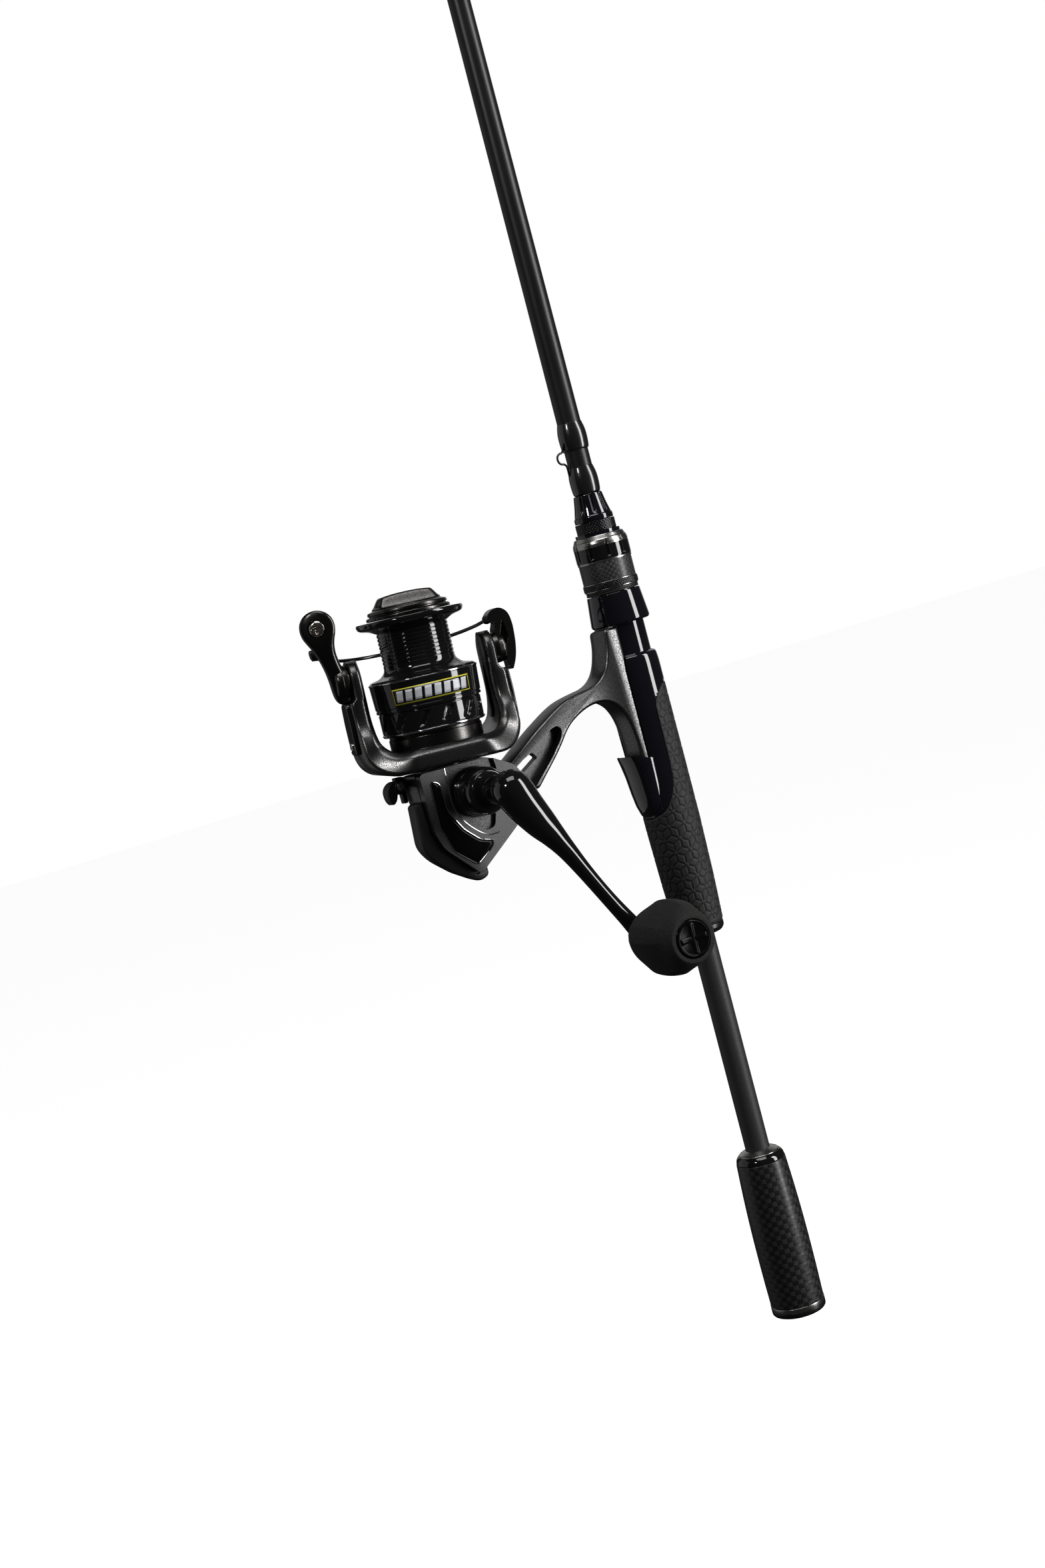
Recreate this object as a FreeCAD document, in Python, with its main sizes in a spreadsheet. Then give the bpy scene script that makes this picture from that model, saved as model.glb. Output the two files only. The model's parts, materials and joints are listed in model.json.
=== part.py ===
"""Spinning rod and reel, in millimetres.

The rod's axis is Z, from the butt's end face at the origin up to the tip. The reel hangs on the -X side
and its crank is on the -Y side. The reel has a frame of its own: Z is the spool's axis and Y the crank's.
"""

import FreeCAD, Part
import math
import os
import re
import Sketcher
from FreeCAD import Placement, Rotation, Vector

# ---------------------------------------------------------------- sizes

SIZES = {
    # clearances
    "running": 0.05,
    "free_gap": 0.3,
    # blank: outer radii at the butt, at the end of the handle, half way and at the tip
    "rod_length": 2134,
    "blank_butt": 5.85,
    "blank_handle": 5.56,
    "handle_end": 400,
    "blank_middle": 3.2,
    "middle_height": 1400,
    "blank_tip": 1.05,
    "blank_wall": 1.1,
    "blank_tip_wall": 0.5,
    # butt
    "cap_radius": 12.95,
    "cap_height": 2.9,
    "cap_floor": 1.4,
    "cap_round": 1.2,
    "ring_radius": 12.8,
    "ring_height": 2.1,
    "butt_grip_waist": 11.7,
    "butt_grip_wide": 13.0,
    "butt_grip_length": 70.3,
    "collar_radius": 11.3,
    "collar_height": 3.7,
    "butt_check_radius": 9.6,
    "butt_check_height": 2.0,
    # rear grip, with the plastic end below it
    "rear_grip_start": 190.8,
    "rear_grip_end": 306,
    "rear_grip_start_radius": 11.5,
    "grip_radius": 12.8,
    "grip_belly": 12.95,
    "end_cap_height": 4,
    "end_cap_radius": 11.3,
    # reel seat
    "seat_start": 242,
    "shell_start": 245,
    "seat_step": 321,
    "seat_tube": 7.2,
    "barrel_radius": 10.4,
    "seat_flat": 7.6,
    "seat_end": 378.8,
    "fixed_hood_mouth": 276,
    "fixed_hood_reach": 17.2,
    "fixed_hood_half_width": 10.6,
    "hood_pocket_floor": 268,
    # moving hood and its nut
    "hood_start": 335.6,
    "hood_height": 14.6,
    "hood_rim": 13.75,
    "hood_top": 12.35,
    "hood_pocket": 8.9,
    "hood_travel": 8.5,
    "washer_height": 1.9,
    "washer_radius": 12.2,
    "knurl_ring_height": 3.6,
    "knurl_ring_radius": 12.8,
    "sleeve_height": 9.2,
    "sleeve_radius": 12.35,
    "nut_height": 12,
    "nut_radius": 12.75,
    "nut_top": 11.25,
    "nut_bevel": 4.7,
    # winding check above the seat
    "knurled_check_radius": 9.25,
    "knurled_check_height": 5,
    "check_base_radius": 9,
    "check_base_height": 2.5,
    "check_cone_height": 10,
    "check_cone_top": 6.6,
    # thread wraps and hook keeper
    "wrap_thickness": 0.9,
    "lower_wrap_length": 13,
    "upper_wrap_start": 416.7,
    "upper_wrap_length": 13,
    "keeper_wire": 0.5,
    "keeper_reach": 9,
    # guides
    "guide_wire": 0.9,
    "guide_insert_tube": 1.1,
    "guide_frame_wall": 0.9,
    "guide_foot_length": 15,
    "guide_foot_width": 2.2,
    "guide_foot_thickness": 0.8,
    "guide_wrap_gap": 3.2,
    "tip_tube_length": 16,
    "tip_tube_wall": 0.45,
    "tip_ring_radius": 4,
    # reel: place of its frame's origin, where the crank's height meets the spool's axis, and its tilt
    "reel_x": -106.4,
    "reel_z": 284,
    "reel_tilt": 2.5,
    "crank_offset": 5.5,
    # foot and stem
    "foot_bottom": 268.5,
    "foot_top": 343,
    "foot_tongue": 4,
    "foot_heel": 5.8,
    "foot_half_width": 9.2,
    "tongue_half_width": 6.4,
    "stem_half_width": 8.8,
    "stem_window_depth": 5,
    # housing
    "case_wall": 2.4,
    "case_top": 13.5,
    "case_far_side": 13,
    "cover_seam": 11.5,
    "cover_face": 16,
    "inset_depth": 1,
    "rear_cover_half_width": 12,
    "collar_outer": 10.5,
    "collar_top": 18.5,
    "boss_radius": 10.5,
    "boss_end": 29.5,
    "gear_bearing_radius": 6.5,
    "gear_bearing_width": 3.2,
    "pinion_bearing_radius": 9,
    "pinion_bearing_floor": 12.5,
    "pinion_bearing_width": 5,
    "far_cap_radius": 9,
    "far_cap_height": 4.5,
    "screw_radius": 1.6,
    "screw_head": 1.2,
    # drive train
    "gear_shaft": 3.5,
    "gear_shaft_neck": 3,
    "gear_shaft_far_end": 15,
    "drive_gear_radius": 10.2,
    "drive_gear_thickness": 3,
    "pinion_radius": 3.9,
    "pinion_sleeve": 5,
    "pinion_start": 4,
    "pinion_sleeve_start": 11.2,
    "pinion_end": 36,
    "slider_gear_radius": 8.5,
    "shaft_gear_radius": 5.7,
    "slider_gear_near": 4.5,
    "slider_gear_thickness": 3,
    "crosshead_pin": 1.2,
    "stroke": 12,
    # main shaft and crosshead
    "main_shaft": 2,
    "crosshead_bottom": -23.5,
    "crosshead_height": 5.5,
    "crosshead_face": 3.5,
    "rail_radius": 1.2,
    "rail_place": -7,
    "main_shaft_end": 89,
    # rotor; its frame is turned about the spool's axis
    "rotor_turn": -12,
    "rotor_bottom": 14.5,
    "rotor_floor": 23.8,
    "arm_inner": 27.8,
    "arm_outer": 35.6,
    "arm_top_outer": 32.8,
    "arm_shoulder": 50,
    "arm_half_depth": 8.4,
    "arm_round": 3,
    "rotor_base_half_depth": 24.5,
    "rotor_corner": 12,
    "drum_radius": 20.6,
    "drum_wall": 1.8,
    "drum_top": 49,
    "rotor_nut_radius": 7.5,
    "rotor_nut_height": 5,
    "arm_cover_thickness": 2,
    "arm_cover_half_depth": 6.8,
    # bail
    "bail_pivot": 58.6,
    "bail_collar": 7.4,
    "bail_collar_length": 5,
    "bail_pin": 2,
    "bail_wire": 0.8,
    "bail_apex": 49,
    "bail_half_width": 36,
    "bail_end_height": 71.3,
    "bail_end_depth": 4,
    "lever_head_radius": 7.8,
    "lever_head_x": -42,
    "lever_head_y": -6,
    "lever_head_height": 83.6,
    "lever_head_turn": 20,
    "lever_head_thickness": 4,
    "roller_radius": 5,
    "roller_width": 4.4,
    "roller_pin": 1.5,
    # spool
    "skirt_radius": 24.1,
    "skirt_bottom_radius": 22.7,
    "skirt_bottom": 30.4,
    "skirt_top": 54.2,
    "skirt_wall": 1.3,
    "arbor_radius": 15.85,
    "arbor_start": 58.2,
    "arbor_end": 75.2,
    "lip_radius": 23.95,
    "lip_height": 79.9,
    "spool_top": 81,
    "drag_well": 13.5,
    "drag_well_floor": 75,
    # drag knob
    "drag_ring_radius": 18.7,
    "drag_base_radius": 15.1,
    "drag_top_radius": 11.6,
    "drag_top": 91.6,
    "drag_bar_half_width": 5,
    # crank: arm centre's depth at the hub, arm's reach and lean, and knob
    "hub_depth": 49,
    "hub_radius": 8.6,
    "arm_reach": 86.4,
    "arm_lean": 29.6,
    "arm_bow": 4,
    "arm_sweep": 6.5,
    "arm_middle_radius": 4.6,
    "arm_end_radius": 5.2,
    "arm_end_half_length": 4,
    "neck_radius": 6.2,
    "knob_radius": 16,
    "knob_base_radius": 9.5,
    "knob_end_radius": 10.5,
    "knob_length": 37,
    "knob_cap_radius": 8.4,
    "knob_cap_height": 1.2,
    "spindle_radius": 2.5,
    "spindle_head": 4,
    # stop lever of the anti-reverse
    "stop_x": -23.6,
    "stop_z": 9.6,
    "stop_radius": 2.6,
    "stop_half_width": 3,
}

INCH = 25.4
GUIDES = (  # inches down from the tip, insert's outer radius, height of its centre, feet
    (56, 12.5, 30, 2),
    (40, 8, 20, 2),
    (29.5, 6, 14.5, 2),
    (21, 4.2, 10.5, 1),
    (14, 4, 9, 1),
    (8.5, 4, 8.2, 1),
    (4, 4, 7.6, 1),
)
for number, (below_tip, ring, height, _) in enumerate(GUIDES, 1):
    SIZES[f"guide_{number}_below_tip"] = below_tip * INCH
    SIZES[f"guide_{number}_ring"] = ring
    SIZES[f"guide_{number}_height"] = height

doc = FreeCAD.newDocument("SpinningRodAndReel")
sheet = doc.addObject("Spreadsheet::Sheet", "Sizes")
for row, (name, number) in enumerate(SIZES.items(), 1):
    sheet.set(f"A{row}", name)
    sheet.set(f"B{row}", str(number))
    sheet.setAlias(f"B{row}", name)
doc.recompute()


# ---------------------------------------------------------------- helpers

def formula(text):
    """An expression in the sheet's words, with the sheet named before each."""
    return re.sub(r"[a-z]\w*", lambda word: f"Sizes.{word[0]}" if word[0] in SIZES else word[0], str(text))


def value(text):
    return float(sheet.evalExpression(formula(text)))


def bind(thing, name, text):
    thing.setExpression(name, formula(text))


def turned_about_y(x, z):
    """A point of the rod's XZ plane as a pair of expressions in the reel's frame."""
    along, up = f"({x} - reel_x)", f"({z} - reel_z)"
    return (
        f"{along} * cos(reel_tilt) - {up} * sin(reel_tilt)",
        f"{along} * sin(reel_tilt) + {up} * cos(reel_tilt)",
    )


def reel_frame():
    return Placement(Vector(value("reel_x"), 0, value("reel_z")), Rotation(Vector(0, 1, 0), value("reel_tilt")))


def rotor_frame():
    return reel_frame() * Placement(Vector(), Rotation(Vector(0, 0, 1), value("rotor_turn")))


def across(x, y, z, facing=Rotation(Vector(1, 0, 0), 90)):
    """A frame in the reel's frame, at a point, whose Z faces the crank side unless told otherwise."""
    return reel_frame() * Placement(Vector(value(x), value(y), value(z)), facing)


def blank_at(height):
    """The blank's outer radius at a height, as an expression; the height is one too."""
    stretches = (
        ("0", "handle_end", "blank_butt", "blank_handle"),
        ("handle_end", "middle_height", "blank_handle", "blank_middle"),
        ("middle_height", "rod_length", "blank_middle", "blank_tip"),
    )
    for low, high, wide, narrow in stretches:
        if value(height) <= value(high):
            break
    return f"({wide} - ({wide} - {narrow}) * ({height} - {low}) / ({high} - {low}))"


SUB_PARTS = []


class Piece:
    """One sub-part, made as a PartDesign body; outlines are lists of points given as expressions.

    A third entry on a point makes the edge after it an arc of that radius: positive bulges to the
    right of the way along the outline, negative to the left.
    """

    NORMALS = {"XY": 1, "YZ": 1, "XZ": -1}

    def __init__(self, label, place=None):
        self.body = doc.addObject("PartDesign::Body", label)
        self.body.Label = label
        if place:
            self.body.Placement = place
        SUB_PARTS.append(self.body)

    def origin(self, role):
        return next(item for item in self.body.Origin.OriginFeatures if item.Role == role)

    def sketch(self, plane, offset="0"):
        sketch = self.body.newObject("Sketcher::SketchObject", f"{self.body.Label}_sketch")
        sketch.AttachmentSupport = [(self.origin(f"{plane}_Plane"), "")]
        sketch.MapMode = "FlatFace"
        if offset != "0":
            sign = "" if self.NORMALS[plane] > 0 else "-1 * "
            bind(sketch, "AttachmentOffset.Base.z", f"{sign}({offset})")
        return sketch

    def outline(self, plane, points, offset="0"):
        sketch = self.sketch(plane, offset)
        spots = [Vector(value(point[0]), value(point[1]), 0) for point in points]
        ends = []
        for here, point in enumerate(points):
            start, end = spots[here], spots[(here + 1) % len(spots)]
            if len(point) == 2:
                sketch.addGeometry(Part.LineSegment(start, end), False)
                ends.append((1, 2))
            else:
                radius = value(point[2])
                arc, forward = arc_between(start, end, radius)
                sketch.addGeometry(arc, False)
                ends.append((1, 2) if forward else (2, 1))
        for here in range(len(points)):
            there = (here + 1) % len(points)
            join = Sketcher.Constraint("Coincident", here, ends[here][1], there, ends[there][0])
            sketch.addConstraint(join)
        for here, point in enumerate(points):
            for kind, text, size in (("DistanceX", point[0], spots[here].x), ("DistanceY", point[1], spots[here].y)):
                index = sketch.addConstraint(Sketcher.Constraint(kind, -1, 1, here, ends[here][0], size))
                bind(sketch, f"Constraints[{index}]", text)
            if len(point) == 3:
                index = sketch.addConstraint(Sketcher.Constraint("Radius", here, abs(value(point[2]))))
                bind(sketch, f"Constraints[{index}]", f"abs({point[2]})")
        return sketch

    def circle(self, plane, radius, x="0", y="0", offset="0"):
        sketch = self.sketch(plane, offset)
        centre = Vector(value(x), value(y), 0)
        sketch.addGeometry(Part.Circle(centre, Vector(0, 0, 1), value(radius)), False)
        constraints = (
            (Sketcher.Constraint("Radius", 0, value(radius)), radius),
            (Sketcher.Constraint("DistanceX", -1, 1, 0, 3, centre.x), x),
            (Sketcher.Constraint("DistanceY", -1, 1, 0, 3, centre.y), y),
        )
        for constraint, text in constraints:
            index = sketch.addConstraint(constraint)
            bind(sketch, f"Constraints[{index}]", text)
        return sketch

    def feature(self, kind, sketch, **settings):
        feature = self.body.newObject(f"PartDesign::{kind}", f"{self.body.Label}_{kind.lower()}")
        feature.Profile = sketch
        for name, setting in settings.items():
            setattr(feature, name, setting)
        sketch.Visibility = False
        self.body.Tip = feature
        return feature

    def turn(self, points, kind="Revolution"):
        """Turn an outline of (radius, height) about Z."""
        sketch = self.outline("XZ", points)
        self.feature(kind, sketch, ReferenceAxis=(self.origin("Z_Axis"), [""]), Angle=360)
        return self

    def groove(self, points):
        return self.turn(points, "Groove")

    def pad(self, plane, shape, low, high):
        """Fill from low to high along the plane's axis; shape is an outline or (radius, x, y)."""
        flipped = self.NORMALS[plane] < 0
        sketch = self.drawn(plane, shape, high if flipped else low)
        bind(self.feature("Pad", sketch), "Length", f"({high}) - ({low})")
        return self

    def pocket(self, plane, shape, low, high):
        """Cut from low to high along the plane's axis."""
        flipped = self.NORMALS[plane] < 0
        sketch = self.drawn(plane, shape, low if flipped else high)
        bind(self.feature("Pocket", sketch), "Length", f"({high}) - ({low})")
        return self

    def drawn(self, plane, shape, offset):
        if isinstance(shape, tuple):
            return self.circle(plane, *shape, offset=offset)
        return self.outline(plane, shape, offset)

    def loft(self, sketches, kind="AdditiveLoft", ruled=False):
        self.feature(kind, sketches[0], Sections=sketches[1:], Ruled=ruled)
        return self

    def around(self, count):
        """Repeat the last feature evenly about Z."""
        last = self.body.Tip
        pattern = self.body.newObject("PartDesign::PolarPattern", f"{self.body.Label}_pattern")
        pattern.Originals = [last]
        pattern.Axis = (self.origin("Z_Axis"), [""])
        pattern.Angle = 360
        pattern.Occurrences = count
        self.body.Tip = pattern
        return self


def arc_between(start, end, radius):
    """The arc, and whether its own way round goes from start to end."""
    chord = end - start
    half = chord.Length / 2
    right = Vector(chord.y, -chord.x, 0).normalize()
    drop = math.sqrt(max(radius * radius - half * half, 0))
    side = 1 if radius > 0 else -1
    centre = start + chord / 2 - right * side * drop
    first, last = (start, end) if side > 0 else (end, start)
    angles = [math.atan2(spot.y - centre.y, spot.x - centre.x) for spot in (first, last)]
    circle = Part.Circle(centre, Vector(0, 0, 1), abs(radius))
    return Part.ArcOfCircle(circle, *angles), side > 0


def ring_outline(inner, outer, low, high):
    return [(inner, low), (outer, low), (outer, high), (inner, high)]


def box_outline(left, right, low, high):
    return [(left, low), (right, low), (right, high), (left, high)]


def shaped(label, shape, place=None):
    """A sub-part whose shape is worked out here from the sheet's sizes."""
    part = doc.addObject("Part::Feature", label)
    part.Label = label
    part.Shape = shape
    if place:
        part.Placement = place
    SUB_PARTS.append(part)


def wire_shape(edges, radius):
    """A round wire swept along joined edges."""
    path = Part.Wire(edges)
    start = edges[0].valueAt(edges[0].FirstParameter)
    way = edges[0].tangentAt(edges[0].FirstParameter)
    section = Part.Wire([Part.makeCircle(radius, start, way)])
    return path.makePipeShell([section], True, False)


def rod_between(start, end, radius):
    way = end - start
    return Part.makeCylinder(radius, way.Length, start, way)


def tube_shape(inner, outer, height, base):
    axis = Vector(0, 0, 1)
    return Part.makeCylinder(outer, height, base, axis).cut(Part.makeCylinder(inner, height, base, axis))


# ---------------------------------------------------------------- rod: blank and butt

def make_blank():
    ends = ["cap_floor", "handle_end", "middle_height", "rod_length"]
    outside = [(blank_at(height), height) for height in ends]
    walls = ["blank_wall", "blank_wall", "blank_wall", "blank_tip_wall"]
    inside = [(f"{radius} - {wall}", height) for (radius, height), wall in zip(outside, walls)]
    Piece("rod_blank").turn(outside + inside[::-1])


def make_butt():
    bore = blank_at("cap_floor")
    cap = [
        ("0", "0"),
        ("cap_radius - cap_round", "0", "cap_round"),
        ("cap_radius", "cap_round"),
        ("cap_radius", "cap_height"),
        (bore, "cap_height"),
        (bore, "cap_floor"),
        ("0", "cap_floor"),
    ]
    Piece("butt_cap").turn(cap)
    ring_top = "cap_height + ring_height"
    Piece("butt_ring").turn(ring_outline(bore, "ring_radius", "cap_height", ring_top))
    grip_top = f"{ring_top} + butt_grip_length"
    grip = [
        (bore, ring_top),
        ("butt_grip_wide", ring_top),
        ("butt_grip_wide", f"{ring_top} + butt_grip_length * 0.44"),
        ("butt_grip_waist", grip_top),
        (bore, grip_top),
    ]
    Piece("butt_grip").turn(grip)
    collar_top = f"{grip_top} + collar_height"
    collar = [
        (bore, grip_top),
        ("butt_grip_waist", grip_top),
        ("collar_radius", f"{grip_top} + collar_height / 2", "collar_height"),
        ("butt_check_radius", collar_top),
        (bore, collar_top),
    ]
    Piece("butt_grip_collar").turn(collar)
    check_top = f"{collar_top} + butt_check_height"
    Piece("butt_winding_check").turn([
        (bore, collar_top),
        ("butt_check_radius", collar_top),
        (f"{bore} + 0.5", check_top),
        (bore, check_top),
    ])


# ---------------------------------------------------------------- rod: rear grip and reel seat

GRIP_BORDER = [  # the slanted edge between the gloss seat and the rubber, from the hood's tip up to the far side
    ("-1 * grip_belly", "shell_start"),
    ("-6.5", "shell_start + 5", "-20"),
    ("-1.2", "shell_start + 19"),
    ("-1", "rear_grip_end - 12", "-9"),
    ("5", "rear_grip_end - 3"),
    ("grip_belly + 1", "rear_grip_end"),
]


def make_rear_grip():
    bore = blank_at("rear_grip_start - end_cap_height")
    bottom = "rear_grip_start - end_cap_height"
    Piece("rear_grip_end_cap").turn([
        (bore, bottom),
        ("end_cap_radius - 1.7", bottom),
        ("end_cap_radius", f"{bottom} + 1.7"),
        ("end_cap_radius", "rear_grip_start"),
        (bore, "rear_grip_start"),
    ])
    grip = Piece("rear_grip").turn([
        (bore, "rear_grip_start"),
        ("rear_grip_start_radius", "rear_grip_start"),
        ("rear_grip_start_radius + 0.8", "rear_grip_start + 21"),
        ("grip_belly", "rear_grip_start + 50"),
        ("grip_radius", "rear_grip_end"),
        ("seat_tube", "rear_grip_end"),
        ("seat_tube", "seat_start"),
        (bore, "seat_start"),
    ])
    seat_side = GRIP_BORDER + [("grip_belly + 1", "rear_grip_end + 5"), ("-1 * grip_belly - 1", "rear_grip_end + 5")]
    seat_side.append(("-1 * grip_belly - 1", "shell_start"))
    grip.pocket("XZ", seat_side, "-1 * grip_belly - 1", "grip_belly + 1")


def make_seat():
    bore = blank_at("seat_start")
    seat = Piece("reel_seat").turn([
        (bore, "shell_start"),
        ("grip_radius", "shell_start"),
        ("grip_radius", "seat_step - 1.5"),
        ("barrel_radius", "seat_step"),
        (bore, "seat_step"),
    ])
    # fixed hood: a cup that opens upwards on the reel's side and runs out to a rounded tip
    sections = []
    for height, reach, width in (
        ("shell_start + 1", "grip_belly + 0.05", "fixed_hood_half_width - 5"),
        ("shell_start + 14", "fixed_hood_reach - 2.6", "fixed_hood_half_width - 1"),
        ("fixed_hood_mouth", "fixed_hood_reach", "fixed_hood_half_width"),
    ):
        cup = [
            ("-1 * seat_tube + 1", f"-1 * ({width})"),
            ("-1 * seat_tube + 1", width),
            ("-1 * seat_tube - 2.6", width, "-12"),
            (f"-1 * ({reach})", "0", "-12"),
            ("-1 * seat_tube - 2.6", f"-1 * ({width})"),
        ]
        sections.append(seat.outline("XY", cup, height))
    seat.loft(sections, ruled=True)
    rubber_side = GRIP_BORDER + [("grip_belly + 1", "shell_start - 1"), ("-1 * grip_belly - 1", "shell_start - 1")]
    seat.pocket("XZ", rubber_side, "-1 * grip_belly - 1", "grip_belly + 1")
    seat.turn(ring_outline(bore, "seat_tube", "seat_start", "seat_step"))
    seat.turn(ring_outline(bore, "barrel_radius", "seat_step", "seat_end"))
    pocket = box_outline("-1 * seat_flat - foot_heel", "-1 * seat_flat", "-1 * foot_half_width", "foot_half_width")
    seat.pocket("XY", pocket, "hood_pocket_floor", "fixed_hood_mouth + 1")
    flat = box_outline("-1 * hood_rim - 8", "-1 * seat_flat", "-1 * hood_rim", "hood_rim")
    seat.pocket("XY", flat, "fixed_hood_mouth", "hood_start + hood_pocket")


def make_hood_and_nut():
    bore = "barrel_radius + running"
    hood_top = "hood_start + hood_height"
    hood = Piece("moving_hood").turn([
        (bore, "hood_start"),
        ("hood_rim - 0.6", "hood_start", "0.8"),
        ("hood_rim", "hood_start + 1"),
        ("hood_top", hood_top),
        (bore, hood_top),
    ])
    tongue = box_outline(
        "-1 * seat_flat - foot_tongue - free_gap",
        "-1 * seat_flat + running",
        "-1 * tongue_half_width - free_gap",
        "tongue_half_width + free_gap",
    )
    hood.pocket("XY", tongue, "hood_start", "hood_start + hood_pocket")
    washer_top = f"{hood_top} + free_gap + washer_height"
    ring_top = f"{washer_top} + knurl_ring_height"
    sleeve_top = f"{ring_top} + sleeve_height"
    Piece("nut_washer").turn(ring_outline(bore, "washer_radius", f"{hood_top} + free_gap", washer_top))
    ring = Piece("nut_knurled_ring").turn(ring_outline(bore, "knurl_ring_radius", washer_top, ring_top))
    notch = [
        ("knurl_ring_radius - 0.35", "0"),
        ("knurl_ring_radius + 1", "-1"),
        ("knurl_ring_radius + 1", "1"),
    ]
    ring.pocket("XY", notch, f"{washer_top} + 0.7", f"{ring_top} - 0.7").around(36)
    Piece("nut_sleeve").turn(ring_outline(bore, "sleeve_radius", ring_top, sleeve_top))
    nut_top = f"{sleeve_top} + nut_height"
    nut = Piece("locking_nut").turn([
        (bore, sleeve_top),
        ("nut_radius", sleeve_top),
        ("nut_radius", f"{nut_top} - nut_bevel"),
        ("nut_top", nut_top),
        (bore, nut_top),
    ])
    flute = ("1.8", "nut_radius + 0.9", "0")
    nut.pocket("XY", flute, f"{sleeve_top} + 1", f"{nut_top} - nut_bevel + 0.8").around(10)


def make_winding_check():
    bore = blank_at("seat_end")
    knurl_top = "seat_end + knurled_check_height"
    Piece("knurled_check").turn(ring_outline(bore, "knurled_check_radius", "seat_end", knurl_top))
    base_top = f"{knurl_top} + check_base_height"
    cone_top = f"{base_top} + check_cone_height"
    Piece("winding_check").turn([
        (bore, knurl_top),
        ("check_base_radius", knurl_top),
        ("check_base_radius", base_top),
        ("check_cone_top", cone_top),
        (bore, cone_top),
    ])
    return cone_top


# ---------------------------------------------------------------- rod: wraps, hook keeper and guides

def foot_box(low, length, deeper=0):
    """A guide's foot, lying on the reel side of the blank."""
    thick, wide = value("guide_foot_thickness"), value("guide_foot_width")
    radius = value(blank_at(low))
    return Part.makeBox(thick + deeper, wide, length, Vector(-radius - thick, -wide / 2, value(low)))


def guide_places():
    for number, (_, _, _, feet) in enumerate(GUIDES, 1):
        middle = f"(rod_length - guide_{number}_below_tip)"
        ring, height = value(f"guide_{number}_ring"), value(f"guide_{number}_height")
        spread = (height - ring) * 0.8 + 3
        lows = [f"{middle} - {spread} - guide_foot_length"]
        if feet == 2:
            lows.append(f"{middle} + {spread}")
        yield number, middle, ring, height, spread, lows


def make_wraps(lower_start):
    """Thread bound round the hook keeper's feet and every guide's foot."""
    reach = value("wrap_thickness") + value("guide_foot_thickness")
    wraps = []
    stretches = [(lower_start, "lower_wrap_length"), ("upper_wrap_start", "upper_wrap_length")]
    for low, length in stretches:
        radius = value(blank_at(low))
        wraps.append(tube_shape(radius, radius + value("wrap_thickness"), value(length), Vector(0, 0, value(low))))
    length, gap = value("guide_foot_length"), value("guide_wrap_gap")
    for _, _, _, _, _, lows in guide_places():
        for rise, low in zip((0, gap), lows):
            radius = value(blank_at(low))
            wrap = tube_shape(radius, radius + reach, length - gap, Vector(0, 0, value(low) + rise))
            wraps.append(wrap.cut(foot_box(low, length, radius / 2)))
    shaped("thread_wraps", Part.makeCompound(wraps))


def make_hook_keeper(lower_start):
    """A small wire loop whose two ends lie on the thread wraps."""
    wire, reach = value("keeper_wire"), value("keeper_reach")
    low = value(lower_start) + value("lower_wrap_length") - 4
    high = value("upper_wrap_start") + 4
    surface = value(blank_at(lower_start)) + value("wrap_thickness") + wire
    bend = (low + 3, high - 3)
    spots = [
        Vector(-surface, 0, low),
        Vector(-surface, 0, bend[0]),
        Vector(-reach, 0, bend[0] + 2),
        Vector(-reach, 0, bend[1] - 2),
        Vector(-surface, 0, bend[1]),
        Vector(-surface, 0, high),
    ]
    shape = None
    for start, end in zip(spots, spots[1:]):
        piece = rod_between(start, end, wire).fuse(Part.makeSphere(wire, end))
        shape = piece if shape is None else shape.fuse(piece)
    shaped("hook_keeper", shape.removeSplitter())


def guide_frame(middle, ring, height, spread, lows):
    """A ring on wire legs that run down to its feet."""
    up = Vector(0, 0, 1)
    wall, wire = value("guide_frame_wall"), value("guide_wire") / 2
    thick, length = value("guide_foot_thickness"), value("guide_foot_length")
    centre = Vector(-height, 0, value(middle))
    width = 2 * value("guide_insert_tube")
    shape = tube_shape(ring, ring + wall, width, centre - up * (width / 2))
    for side, low in zip((-1, 1), lows):
        shape = shape.fuse(foot_box(low, length))
        seat = Vector(-value(blank_at(low)) - thick, 0, centre.z + side * (spread + 2))
        for turn in (-30, 30) if side < 0 else (0,):
            angle = math.radians(turn)
            start = centre + Vector(math.cos(angle), math.sin(angle), 0) * (ring + wall * 0.6)
            shape = shape.fuse(rod_between(start, seat, wire))
    return shape.cut(Part.makeCylinder(ring, 4 * width, centre - up * (2 * width), up))


def guide_insert(middle, ring, height):
    """A hard ring, rounded on the inside, that fills its frame."""
    tube = value("guide_insert_tube")
    centre = Vector(-height, 0, value(middle))
    torus = Part.makeTorus(ring - tube, tube, centre, Vector(0, 0, 1))
    return torus.fuse(tube_shape(ring - tube, ring, 2 * tube, centre - Vector(0, 0, tube)))


def make_guides():
    small_frames, small_inserts = [], []
    for number, middle, ring, height, spread, lows in guide_places():
        frame = guide_frame(middle, ring, height, spread, lows)
        insert = guide_insert(middle, ring, height)
        if len(lows) == 2:
            shaped(f"guide_{number}_frame", frame)
            shaped(f"guide_{number}_insert", insert)
        else:
            small_frames.append(frame)
            small_inserts.append(insert)
    shaped("small_guide_frames", Part.makeCompound(small_frames))
    shaped("small_guide_inserts", Part.makeCompound(small_inserts))


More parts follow.
